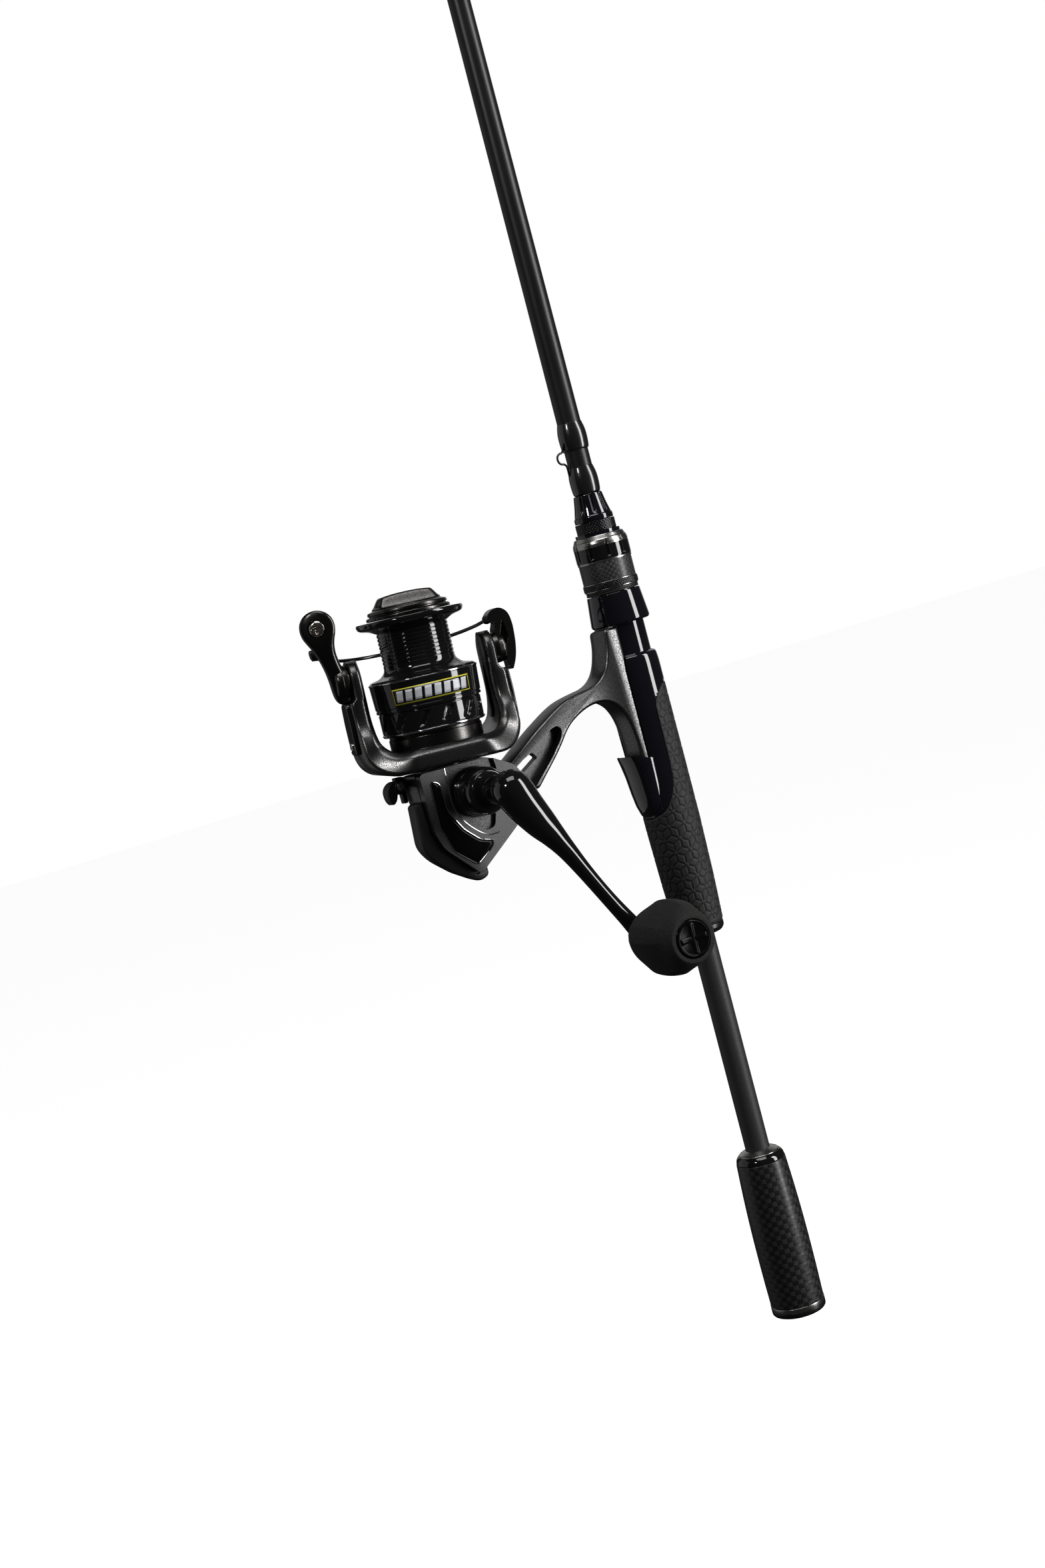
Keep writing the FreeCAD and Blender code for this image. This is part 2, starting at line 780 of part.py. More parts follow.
def make_tip_top():
    """A tube over the blank's tip that carries the last ring."""
    length, wall, ring = value("tip_tube_length"), value("tip_tube_wall"), value("tip_ring_radius")
    top = value("rod_length")
    start = top - length
    bore = value(blank_at(f"rod_length - tip_tube_length"))
    frame_wall, tube = value("guide_frame_wall"), value("guide_insert_tube")
    body = tube_shape(bore, bore + wall, length, Vector(0, 0, start))
    body = body.fuse(Part.makeCylinder(bore + wall, 1.5, Vector(0, 0, top), Vector(0, 0, 1)))
    centre = Vector(-ring - 1.5, 0, top + 1.5 + ring * 0.6)
    facing = Vector(0.35, 0, 1).normalize()
    rim = tube_shape(ring, ring + frame_wall, 2 * tube, Vector(0, 0, -tube))
    rim.Placement = Placement(centre, Rotation(Vector(0, 0, 1), facing))
    leg_foot = Vector(0, 0, top + 1)
    hole = Part.makeCylinder(ring, 8, centre - facing * 4, facing)
    for side in (-1, 1):
        leg = rod_between(leg_foot + Vector(0, side * 0.8, 0), centre + Vector(0.5, side * (ring + 0.4), 0), 0.7)
        body = body.fuse(leg)
    shaped("tip_top_frame", body.fuse(rim).cut(hole).removeSplitter())
    insert = Part.makeTorus(ring - tube, tube).fuse(tube_shape(ring - tube, ring, 2 * tube, Vector(0, 0, -tube)))
    shaped("tip_top_insert", insert, Placement(centre, Rotation(Vector(0, 0, 1), facing)))


# ---------------------------------------------------------------- reel: housing

CASE = [  # side view of the housing, in the reel's frame, and which way its inside lies from each corner
    ("-20", "case_top", 1, -1),
    ("-18.7", "-13", 1, 0.1),
    ("-15.5", "-21", 1, 0.6),
    ("-0.7", "-35.5", 0, 1.25),
    ("22", "-18.7", -1, 0.6),
    ("33", "-6", -1.2, 0),
    ("27", "7", -1, -0.5),
    ("15", "case_top", -0.6, -1),
]


def case_outline(inset):
    return [(f"{x} + {along} * ({inset})", f"{z} + {up} * ({inset})") for x, z, along, up in CASE]


def stem_outline():
    """Side view of the stem and foot, from the housing up to the seat and back."""
    rod_side = [
        ("-66", "276.2"),
        ("-50.5", "291.2", "-14"),
        ("-41.5", "299.6", "-24"),
        ("-22.8", "303.6", "-9"),
        ("-14.4", "295.6"),
        ("-1 * seat_flat - foot_heel", "fixed_hood_mouth + 0.2"),
        ("-1 * seat_flat - foot_heel", "foot_bottom"),
        ("-1 * seat_flat", "foot_bottom"),
        ("-1 * seat_flat", "hood_start - 0.4"),
        ("-17.6", "hood_start - 0.4"),
        ("-20.3", "324.8", "-16"),
        ("-32", "311.8"),
        ("-47.7", "311.6"),
        ("-77", "290.8"),
        ("-88", "285"),
    ]
    return [(*turned_about_y(*point[:2]), *point[2:]) for point in rod_side]


def make_housing():
    housing = Piece("gear_housing", reel_frame())
    housing.pad("XZ", case_outline("0"), "-1 * cover_seam", "case_far_side")
    housing.pad("XZ", stem_outline(), "-1 * stem_half_width", "stem_half_width")
    tongue = [
        turned_about_y("-1 * seat_flat - foot_tongue", "hood_start - 2"),
        turned_about_y("-1 * seat_flat", "hood_start - 2"),
        turned_about_y("-1 * seat_flat", "foot_top"),
        turned_about_y("-1 * seat_flat - foot_tongue + 1", "foot_top"),
    ]
    housing.pad("XZ", tongue, "-1 * tongue_half_width", "tongue_half_width")
    housing.pad("XY", ("collar_outer", "0", "0"), "case_top - 1", "collar_top")
    stop_mount = box_outline("stop_x - 1", "-19", "stop_z - 2.6", "case_top - 0.5")
    housing.pad("XZ", stop_mount, "stop_half_width + free_gap", "stop_half_width + 4")
    housing.pocket("XZ", ("screw_radius", "stop_x", "stop_z"), "stop_half_width", "stop_half_width + 4")
    # hollow for the gears, closed by the side cover
    inside = "case_far_side - case_wall"
    housing.pocket("XZ", case_outline("case_wall"), "-1 * cover_seam", inside)
    housing.pocket("XZ", ("gear_bearing_radius", "crank_offset", "0"), inside, "case_far_side")
    sleeve_hole = "pinion_sleeve + 0.6"
    housing.pocket("XY", (sleeve_hole, "0", "0"), "case_top - case_wall - 1", "pinion_bearing_floor")
    housing.pocket("XY", ("pinion_bearing_radius", "0", "0"), "pinion_bearing_floor", "collar_top")
    # triangular window through the stem, and the recess that runs on from it
    window = [turned_about_y(x, z) for x, z in (("-76.5", "286"), ("-72.3", "283.4"), ("-63.6", "290"), ("-66", "291.6"))]
    housing.pocket("XZ", window, "-1 * stem_half_width", "stem_half_width")
    recess = [turned_about_y(x, z) for x, z in (("-70", "281.6"), ("-66.5", "278.6"), ("-48.5", "297.6"), ("-56", "296"))]
    housing.pocket("XZ", recess, "-1 * stem_half_width", "stem_window_depth - stem_half_width")
    return housing


INSET = [  # side view of the gloss panel on the side cover
    ("-15.4", "9.2"),
    ("-11.3", "7.6"),
    ("-10.1", "-5.3"),
    ("-4.5", "-14.5"),
    ("2.2", "-20.6"),
    ("8.8", "-22.6"),
    ("6.4", "-25.6"),
    ("-1.6", "-31"),
    ("-11.2", "-23"),
    ("-15.4", "-11"),
]


def make_covers():
    cover = Piece("side_cover", reel_frame())
    cover.pad("XZ", case_outline("0.2"), "-1 * cover_face", "-1 * cover_seam")
    cover.pocket("XZ", ("gear_bearing_radius", "crank_offset", "0"), "-1 * cover_face", "-1 * cover_seam")
    cover.pocket("XZ", INSET, "-1 * cover_face", "inset_depth - cover_face")
    panel = Piece("side_inset_panel", reel_frame())
    panel.pad("XZ", INSET, "-1 * cover_face - 0.5", "inset_depth - cover_face")
    inner = [(f"{x} - 0.05 * {along}", f"{z} - 0.05 * {up}") for x, z, along, up in CASE[1:4]]
    outer = [
        ("5", "-37.2"),
        ("-0.5", "-39.1", "-14"),
        ("-11.3", "-32.6"),
        ("-19.3", "-26", "-8"),
        ("-23.6", "-19"),
        ("-23", "1"),
        ("-19.39", "1"),
    ]
    rear = Piece("rear_cover", reel_frame())
    foot_of_case = ("5", "-31.35")
    rear.pad("XZ", outer + inner + [foot_of_case], "-1 * rear_cover_half_width", "rear_cover_half_width")


def make_bearing_seats():
    """The hub that the crank's shaft turns in, the cap on the far side, bearings and screws."""
    bore = "gear_shaft + running"
    boss = Piece("crank_boss", across("crank_offset", "-1 * cover_face", "0"))
    length = "boss_end - cover_face"
    boss.turn([
        (bore, "0"),
        ("boss_radius", "0"),
        ("boss_radius", "2.2"),
        ("boss_radius - 0.7", "2.8"),
        ("boss_radius - 0.7", "3.6"),
        ("boss_radius - 0.2", "4.2"),
        ("boss_radius - 1", f"{length} - 1"),
        ("boss_radius - 2", length),
        (bore, length),
    ])
    cap = Piece("far_side_cap", across("crank_offset", "case_far_side + far_cap_height", "0"))
    cap.turn([
        ("0", "0"),
        ("far_cap_radius - 1.5", "0"),
        ("far_cap_radius", "1.5"),
        ("far_cap_radius", "far_cap_height"),
        ("gear_shaft + 0.5", "far_cap_height"),
        ("gear_shaft + 0.5", "far_cap_height - gear_shaft_far_end + case_far_side - 0.5"),
        ("0", "far_cap_height - gear_shaft_far_end + case_far_side - 0.5"),
    ])
    axis = Vector(0, -1, 0)
    bearings = []
    frame = reel_frame()
    centre = Vector(value("crank_offset"), 0, 0)
    for start in ("-1 * cover_seam - 0.2", "case_far_side"):
        base = centre + Vector(0, value(start), 0)
        width = value("gear_bearing_width")
        outside = Part.makeCylinder(value("gear_bearing_radius"), width, base, axis)
        bearings.append(outside.cut(Part.makeCylinder(value(bore), width, base, axis)))
    floor = Vector(0, 0, value("pinion_bearing_floor"))
    inner, outer = value("pinion_sleeve + running"), value("pinion_bearing_radius")
    bearings.append(tube_shape(inner, outer, value("pinion_bearing_width"), floor))
    shaped("bearings", Part.makeCompound(bearings), frame)
    screws = []
    for x, z in ((-15.5, 8.5), (25, -8), (0, -30)):
        base = Vector(x, value("case_far_side"), z)
        screws.append(Part.makeCylinder(value("screw_radius"), value("screw_head"), base, Vector(0, 1, 0)))
    shaped("housing_screws", Part.makeCompound(screws), frame)


SLIDER_GEAR_DROP = "-1 * slider_gear_radius - shaft_gear_radius - free_gap"


def make_case_pins():
    """The rail that keeps the crosshead from turning, and the stud that its wheel turns on."""
    high = value("case_top - case_wall")
    low = value("crosshead_bottom + 1")
    rail = Part.makeCylinder(value("rail_radius"), high - low, Vector(value("rail_place"), 0, low))
    wall = value("case_far_side - case_wall")
    start = Vector(value("crank_offset"), wall, value(SLIDER_GEAR_DROP))
    stud = Part.makeCylinder(value("crosshead_pin"), wall - value("slider_gear_near"), start, Vector(0, -1, 0))
    shaped("case_pins", Part.makeCompound([rail, stud]), reel_frame())


# ---------------------------------------------------------------- reel: drive train

def toothed(radius, thickness, teeth, depth):
    """A straight-toothed wheel along Z, its tips at the radius."""
    wheel = Part.makeCylinder(radius - depth, thickness)
    pitch = 2 * math.pi / teeth
    for tooth in range(teeth):
        corners = [(radius - depth - 0.2, -0.27), (radius, -0.13), (radius, 0.13), (radius - depth - 0.2, 0.27)]
        spots = []
        for reach, share in corners:
            angle = (tooth + share) * pitch
            spots.append(Vector(reach * math.cos(angle), reach * math.sin(angle), 0))
        face = Part.Face(Part.makePolygon(spots + spots[:1]))
        wheel = wheel.fuse(face.extrude(Vector(0, 0, thickness)))
    return wheel.removeSplitter()


def make_drive_gear():
    """Shaft along the crank's axis with the drive wheel and the crosshead's small wheel on it."""
    start = -value("boss_end + 6")
    far = value("gear_shaft_far_end")
    gear_face = -value("pinion_radius + free_gap")
    up = Vector(0, 1, 0)
    shape = Part.makeCylinder(value("gear_shaft"), far - start, Vector(0, start, 0), up)
    neck_ends = (gear_face, value("slider_gear_near"))
    neck = Part.makeCylinder(value("gear_shaft"), neck_ends[1] - neck_ends[0], Vector(0, neck_ends[0], 0), up)
    slim = Part.makeCylinder(value("gear_shaft_neck"), neck_ends[1] - neck_ends[0], Vector(0, neck_ends[0], 0), up)
    shape = shape.cut(neck).fuse(slim)
    wheels = (
        (value("drive_gear_radius"), value("drive_gear_thickness"), 40, gear_face),
        (value("shaft_gear_radius"), value("slider_gear_thickness"), 16, sum(map(value, (
            "slider_gear_near", "slider_gear_thickness")))),
    )
    for radius, thickness, teeth, high in wheels:
        wheel = toothed(radius, thickness, teeth, 0.9)
        wheel.Placement = Placement(Vector(0, high, 0), Rotation(Vector(1, 0, 0), 90))
        shape = shape.fuse(wheel)
    place = across("crank_offset", "0", "0", Rotation())
    shaped("drive_gear", shape.removeSplitter(), place)


def make_slider_gear():
    """The wheel whose pin drives the crosshead."""
    thick = value("slider_gear_thickness")
    wheel = toothed(value("slider_gear_radius"), thick, 24, 0.9)
    wheel.rotate(Vector(), Vector(0, 0, 1), 7.5)
    wheel = wheel.cut(Part.makeCylinder(value("crosshead_pin + running"), thick))
    pin = Part.makeCylinder(value("crosshead_pin"), 0.5, Vector(0, -value("stroke") / 2, thick))
    wheel = wheel.fuse(pin)
    place = across("crank_offset", "slider_gear_near + slider_gear_thickness", SLIDER_GEAR_DROP)
    shaped("slider_gear", wheel, place)


def make_pinion():
    pinion = toothed(value("pinion_radius"), value("pinion_sleeve_start - pinion_start"), 8, 1.1)
    pinion.translate(Vector(0, 0, value("pinion_start")))
    base = Vector(0, 0, value("pinion_sleeve_start"))
    sleeve = Part.makeCylinder(value("pinion_sleeve"), value("pinion_end - pinion_sleeve_start"), base)
    bore = Part.makeCylinder(value("main_shaft + running"), 60)
    shaped("pinion", pinion.fuse(sleeve).cut(bore), reel_frame())


def make_main_shaft():
    shaft = Part.makeCylinder(
        value("main_shaft"), value("main_shaft_end - crosshead_bottom"), Vector(0, 0, value("crosshead_bottom"))
    )
    shaped("main_shaft", shaft, reel_frame())
    bottom, height = "crosshead_bottom", "crosshead_height"
    crosshead = Piece("crosshead", reel_frame())
    ear = [
        ("rail_place", "-1 * rail_radius - 1.2"),
        ("5.5", "-2.6"),
        ("5.5", "crosshead_face"),
        ("rail_place", "rail_radius + 1.2", "rail_radius + 1.4"),
    ]
    crosshead.pad("XY", ear, bottom, f"{bottom} + {height}")
    crosshead.pocket("XY", ("main_shaft", "0", "0"), bottom, f"{bottom} + {height}")
    crosshead.pocket("XY", ("rail_radius + running", "rail_place", "0"), bottom, f"{bottom} + {height}")


# ---------------------------------------------------------------- reel: rotor and bail

def make_rotor():
    rotor = Piece("rotor", rotor_frame())
    arm_top = "bail_pivot + arm_half_depth"
    half = [
        ("arm_outer - rotor_corner", "rotor_bottom", "rotor_corner"),
        ("arm_outer", "rotor_bottom + rotor_corner"),
        ("arm_outer", "arm_shoulder"),
        ("arm_top_outer", "arm_shoulder"),
        ("arm_top_outer", f"{arm_top} - arm_round", "arm_round"),
        ("arm_top_outer - arm_round", arm_top),
        ("arm_inner", arm_top),
        ("arm_inner", "rotor_floor + 9", "-9"),
        ("arm_inner - 9", "rotor_floor"),
    ]
    other = [(f"-1 * ({point[0]})", point[1]) for point in reversed(half)]
    radii = {0: "-9", 3: "arm_round", 7: "rotor_corner"}
    other = [(*point, radii[here]) if here in radii else point for here, point in enumerate(other)]
    depth = "rotor_base_half_depth"
    rotor.pad("XZ", half + other, f"-1 * {depth}", depth)
    for side in ("1", "-1"):
        slope = [
            (f"{side} * ({depth} + 1)", "rotor_bottom + 5.5"),
            (f"{side} * {depth}", "rotor_bottom + 5.5"),
            (f"{side} * 15", "rotor_bottom + 13"),
            (f"{side} * (arm_half_depth + 1)", "rotor_bottom + 27"),
            (f"{side} * arm_half_depth", "bail_pivot", "arm_half_depth" if side == "1" else "-1 * arm_half_depth"),
            (f"{side} * 0.01", arm_top),
            (f"{side} * 0.01", f"{arm_top} + 1"),
            (f"{side} * ({depth} + 1)", f"{arm_top} + 1"),
        ]
        rotor.pocket("YZ", slope, "-1 * arm_outer - 1", "arm_outer + 1")
        for end in ("1", "-1"):
            bulge = "-34" if side == end else "34"
            corner = [
                (f"{end} * 12", f"{side} * ({depth} + 0.01)", bulge),
                (f"{end} * (arm_outer + 0.01)", f"{side} * 9"),
                (f"{end} * (arm_outer + 1)", f"{side} * ({depth} + 1)"),
            ]
            rotor.pocket("XY", corner, "rotor_bottom - 1", f"{arm_top} + 1")
    rotor.turn(ring_outline("drum_radius - drum_wall", "drum_radius", "rotor_floor - 2", "drum_top"))
    # hollow under the base for the housing's collar, and the hub's bore
    rotor.pocket("XY", ("collar_outer + 1", "0", "0"), "rotor_bottom", "collar_top + 0.8")
    rotor.pocket("XY", ("pinion_sleeve", "0", "0"), "rotor_bottom", "rotor_floor + 1")
    for side in ("1", "-1"):
        low, high = ("arm_inner - 1", "arm_top_outer + 1") if side == "1" else ("-1 * arm_top_outer - 1", "1 - arm_inner")
        rotor.pocket("YZ", ("bail_pin + running", "0", "bail_pivot"), low, high)
    nut = Part.makeCylinder(value("rotor_nut_radius"), value("rotor_nut_height"), Vector(0, 0, value("rotor_floor")))
    nut = nut.cut(Part.makeCylinder(value("pinion_sleeve"), 60))
    shaped("rotor_nut", nut, rotor_frame())


def make_arm_covers():
    """Gloss plates on the outsides of the two arms, with a screw in one."""
    thick = value("arm_cover_thickness")
    half, low, high = value("arm_cover_half_depth"), value("rotor_bottom + 9.5"), value("arm_shoulder")
    inset = 2.5
    spots = [
        (-half, low + inset), (-half + inset, low), (half - inset, low), (half, low + inset),
        (half, high - inset), (half - inset, high), (-half + inset, high), (-half, high - inset),
    ]
    covers = []
    for side in (-1, 1):
        x = side * value("arm_outer")
        polygon = Part.makePolygon([Vector(x, y, z) for y, z in spots + spots[:1]])
        covers.append(Part.Face(polygon).extrude(Vector(side * thick, 0, 0)))
    shaped("arm_covers", Part.makeCompound(covers), rotor_frame())
    base = Vector(-value("arm_outer + arm_cover_thickness"), 0, low + 6)
    screw = Part.makeCylinder(value("screw_radius"), 0.7, base, Vector(-1, 0, 0))
    shaped("arm_cover_screw", screw, rotor_frame())


def head_frame():
    """Frame of the line roller: Z points out of the lever's head, away from the wire."""
    turn = math.radians(value("lever_head_turn"))
    facing = Vector(-math.sin(turn), -math.cos(turn), 0)
    centre = Vector(*(value(name) for name in ("lever_head_x", "lever_head_y", "lever_head_height")))
    return centre, facing


def make_bail_lever():
    """Collar on the rotor's arm, a tapering arm, and the round head that holds the line roller."""
    pivot = Vector(0, 0, value("bail_pivot"))
    gap = value("free_gap")
    start = -value("arm_top_outer") - gap
    along = Vector(-1, 0, 0)
    length = value("bail_collar_length")
    shape = Part.makeCylinder(value("bail_collar"), length, pivot + Vector(start, 0, 0), along)
    pin_length = value("arm_top_outer - arm_inner") + gap
    shape = shape.fuse(Part.makeCylinder(value("bail_pin"), pin_length, pivot + Vector(start, 0, 0), Vector(1, 0, 0)))
    centre, facing = head_frame()
    outer = start - length
    low = Vector(outer - 0.5, 0, value("bail_pivot") - 3)
    middle = Vector(outer - 1.5, -1.5, value("bail_pivot") + 11)
    sections = []
    for spot, radius in ((low, 4.2), (middle, 3.4), (centre - Vector(0, 0, 5), 3.4)):
        sections.append(Part.Wire([Part.makeCircle(radius, spot, Vector(0, 0, 1))]))
    shape = shape.fuse(Part.makeLoft(sections, True, False)).fuse(Part.makeSphere(4.2, low))
    thick = value("lever_head_thickness")
    base = centre - facing * (thick / 2)
    shape = shape.fuse(Part.makeCylinder(value("lever_head_radius"), thick, base, facing))
    reach = value("roller_width") + 2 * gap
    behind = value("roller_radius") + 0.8
    cut_length = reach
    clearing = Part.makeCylinder(behind + 3, cut_length, base - facing * cut_length, facing)
    shape = shape.cut(clearing)
    pin_start = base - facing * (reach + 1)
    shape = shape.fuse(Part.makeCylinder(value("roller_pin"), reach + 1.5, pin_start, facing))
    shaped("bail_lever", shape.removeSplitter(), rotor_frame())
    roller_base = base - facing * (gap + value("roller_width"))
    roller = Part.makeCylinder(value("roller_radius"), value("roller_width"), roller_base, facing)
    bore = Part.makeCylinder(value("roller_pin + running"), value("roller_width"), roller_base, facing)
    shaped("line_roller", roller.cut(bore), rotor_frame())
    return base - facing * reach, facing


def make_bail_wire(root, facing):
    """The root behind the roller and the wire that runs round behind the spool to its ball end."""
    radius = value("bail_wire")
    height, depth, pivot = value("bail_end_height"), value("bail_end_depth"), value("bail_pivot")
    half = value("bail_half_width")
    apex_rise = 7.6
    apex_depth = math.sqrt(value("bail_apex") ** 2 - apex_rise**2)
    steps = 12
    middle = -1.5
    spots = []
    for step in range(steps + 1):
        angle = math.pi * step / steps
        share = math.sin(angle)
        x = middle + half * math.cos(angle)
        z = height + (pivot + apex_rise - height) * share
        spots.append(Vector(x, depth + (apex_depth - depth) * share, z))
    curve = Part.BSplineCurve()
    curve.interpolate(spots)
    wire = wire_shape([curve.toShape()], radius)
    behind = root - facing * 3.2
    root_shape = Part.makeCone(3.4, 4.6, 3.2, behind, facing)
    bore = Part.makeCylinder(value("roller_pin"), 1.2, root, facing * -1)
    end = spots[-1]
    nub = Vector(end.x - 6.5, end.y + 0.5, end.z + 1.2)
    shape = wire.fuse(Part.makeSphere(2.2, end)).fuse(rod_between(end, nub, 2.0)).fuse(Part.makeSphere(2.4, nub))
    shape = shape.fuse(rod_between(end, behind + facing * 1.2, 2.0)).fuse(root_shape).cut(bore)
    shaped("bail_wire", shape.removeSplitter(), rotor_frame())
    return spots[0], shape


def make_bail_holder(ball, wire):
    """Collar on the other arm and the hooked piece that takes the wire's end."""
    gap = value("free_gap")
    start = value("arm_top_outer") + gap
    length = value("bail_collar_length")
    pivot = Vector(start, 0, value("bail_pivot"))
    along = Vector(1, 0, 0)
    shape = Part.makeCylinder(value("bail_collar") - 0.6, length, pivot, along)
    pin_length = value("arm_top_outer - arm_inner") + gap
    shape = shape.fuse(Part.makeCylinder(value("bail_pin"), pin_length, pivot, along * -1))
    hook = [
        Vector(start + length - 1, 0, value("bail_pivot") - 5.4),
        Vector(start + length + 2.4, 0, value("bail_pivot") - 2),
        Vector(start + length + 2.2, 1, value("bail_pivot") + 9),
        Vector(start + length - 1, 2.5, value("bail_pivot") + 13.5),
        ball + Vector(3, 0, 1),
    ]
    for low, high in zip(hook, hook[1:]):
        shape = shape.fuse(rod_between(low, high, 3)).fuse(Part.makeSphere(3, low))
    shape = shape.fuse(Part.makeSphere(3, hook[-1]))
    shape = shape.cut(Part.makeSphere(value("bail_wire") + 1.2, ball))
    shape = shape.fuse(rod_between(ball, hook[-1], 2.4))
    shaped("bail_holder", shape.cut(wire).removeSplitter(), rotor_frame())


# ---------------------------------------------------------------- reel: spool and drag

def make_spool():
    bore = "main_shaft + running"
    ceiling = "skirt_top - 1.6"
    Piece("spool", reel_frame()).turn([
        (bore, ceiling),
        ("skirt_radius - skirt_wall - 0.2", ceiling),
        ("skirt_bottom_radius - skirt_wall", "skirt_bottom"),
        ("skirt_bottom_radius", "skirt_bottom"),
        ("skirt_bottom_radius + 0.9", "skirt_bottom + 11.6"),
        ("skirt_radius", "skirt_top"),
        ("skirt_radius - 1", "skirt_top + 1"),
        ("arbor_radius + 1.2", "arbor_start - 1.2", "-1.7"),
        ("arbor_radius", "arbor_start"),
        ("arbor_radius", "arbor_end"),
        ("lip_radius - 2", "lip_height - 2.1"),
        ("lip_radius", "lip_height"),
        ("lip_radius - 0.4", "spool_top"),
        ("drag_well", "spool_top"),
        ("drag_well", "drag_well_floor"),
        (bore, "drag_well_floor"),
    ])
    washers = Piece("drag_washers", reel_frame())
    washers.turn(ring_outline(bore, "drag_well - free_gap / 2", "drag_well_floor", "spool_top - free_gap / 2"))


def make_drag_knob():
    bottom = "spool_top + free_gap"
    bore = "main_shaft + running"
    blind = "main_shaft_end + 0.6"
    knob = Piece("drag_knob", reel_frame()).turn([
        ("0", blind),
        (bore, blind),
        (bore, bottom),
        ("drag_ring_radius", bottom),
        ("drag_ring_radius", f"{bottom} + 1.3"),
        ("drag_base_radius", f"{bottom} + 3.3"),
        ("drag_top_radius", "drag_top - 2", "drag_top_radius ^ 2 / 4 + 1"),
        ("0", "drag_top"),
    ])
    for side in ("1", "-1"):
        bar_side = [
            (f"{side} * drag_bar_half_width", "drag_top + 1"),
            (f"{side} * (drag_bar_half_width + 0.8)", f"{bottom} + 3.8"),
            (f"{side} * drag_ring_radius", f"{bottom} + 3.3"),
            (f"{side} * drag_ring_radius", "drag_top + 1"),
        ]
        knob.pocket("YZ", bar_side, "-1 * drag_ring_radius", "drag_ring_radius")


# ---------------------------------------------------------------- reel: crank and stop lever

def arm_frame():
    """Frame of the crank's arm: Z runs from the crank's axis to the knob's."""
    return across("crank_offset", "-1 * hub_depth", "0", Rotation(Vector(0, 1, 0), 180 - value("arm_lean")))


def make_crank():
    arm = Piece("crank_arm", arm_frame())
    stations = (  # share of the reach, radius, share of the bow, share of the sweep
        ("0", "hub_radius", "0", "0"),
        ("0.11", "hub_radius - 0.3", "0.2", "0.06"),
        ("0.24", "(hub_radius + arm_middle_radius) / 2 + 0.3", "0.6", "0.15"),
        ("0.38", "arm_middle_radius + 0.7", "0.85", "0.35"),
        ("0.54", "arm_middle_radius", "1", "0.6"),
        ("0.7", "arm_middle_radius - 0.3", "0.6", "0.85"),
        ("0.86", "arm_middle_radius - 0.6", "0.2", "0.97"),
        ("1", "arm_middle_radius - 0.8", "0", "1"),
    )
    sections = []
    for share, radius, bow, sweep in stations:
        sections.append(arm.circle("XY", radius, f"-1 * arm_bow * {bow}", f"-1 * arm_sweep * {sweep}", f"arm_reach * {share}"))
    arm.loft(sections)
    arm.turn([("0", "0"), ("0", "-1 * hub_radius", "hub_radius"), ("hub_radius", "0")])
    arm.pad("XZ", ("neck_radius", "0", "0"), "0", "hub_depth - boss_end - free_gap")
    end = ("arm_end_radius", "0", "arm_reach")
    arm.pad("XZ", end, "-1 * arm_sweep - arm_end_half_length", "arm_end_half_length - arm_sweep")
    shaft_hole = ("gear_shaft", "0", "0")
    arm.pocket("XZ", shaft_hole, "hub_depth - boss_end - 6", "hub_depth - boss_end")
    spindle_hole = ("spindle_radius", "0", "arm_reach")
    arm.pocket("XZ", spindle_hole, "-1 * arm_sweep - arm_end_half_length", "arm_end_half_length - arm_sweep")


def knob_frame():
    """Frame of the knob: Z points away from the reel, from the arm's end face."""
    base = arm_frame() * Placement(
        Vector(0, -value("arm_sweep + arm_end_half_length"), value("arm_reach")), Rotation()
    )
    return Placement(base.Base, reel_frame().Rotation * Rotation(Vector(1, 0, 0), 90))


def make_knob():
    bore = "spindle_radius + running"
    head_floor = "knob_length - 6"
    pin = Piece("knob_spindle", knob_frame())
    pin.turn([
        ("0", "-2 * arm_end_half_length"),
        ("spindle_radius", "-2 * arm_end_half_length"),
        ("spindle_radius", f"{head_floor} + running"),
        ("spindle_head", f"{head_floor} + running"),
        ("spindle_head", f"{head_floor} + 1.6"),
        ("0", f"{head_floor} + 1.6"),
    ])
    knob = Piece("knob_grip", knob_frame())
    knob.turn([
        (bore, "free_gap"),
        ("knob_base_radius", "free_gap", "26"),
        ("knob_radius", "knob_length * 0.52", "22"),
        ("knob_end_radius", "knob_length"),
        ("knob_cap_radius", "knob_length"),
        ("knob_cap_radius", "knob_length - 3"),
        ("spindle_head + 0.3", "knob_length - 3"),
        ("spindle_head + 0.3", head_floor),
        (bore, head_floor),
    ])
    Piece("knob_cap", knob_frame()).turn([
        ("0", "knob_length - 3"),
        ("knob_cap_radius", "knob_length - 3"),
        ("knob_cap_radius", "knob_length", "(knob_cap_radius ^ 2 / knob_cap_height + knob_cap_height) / 2"),
        ("0", "knob_length + knob_cap_height"),
    ])


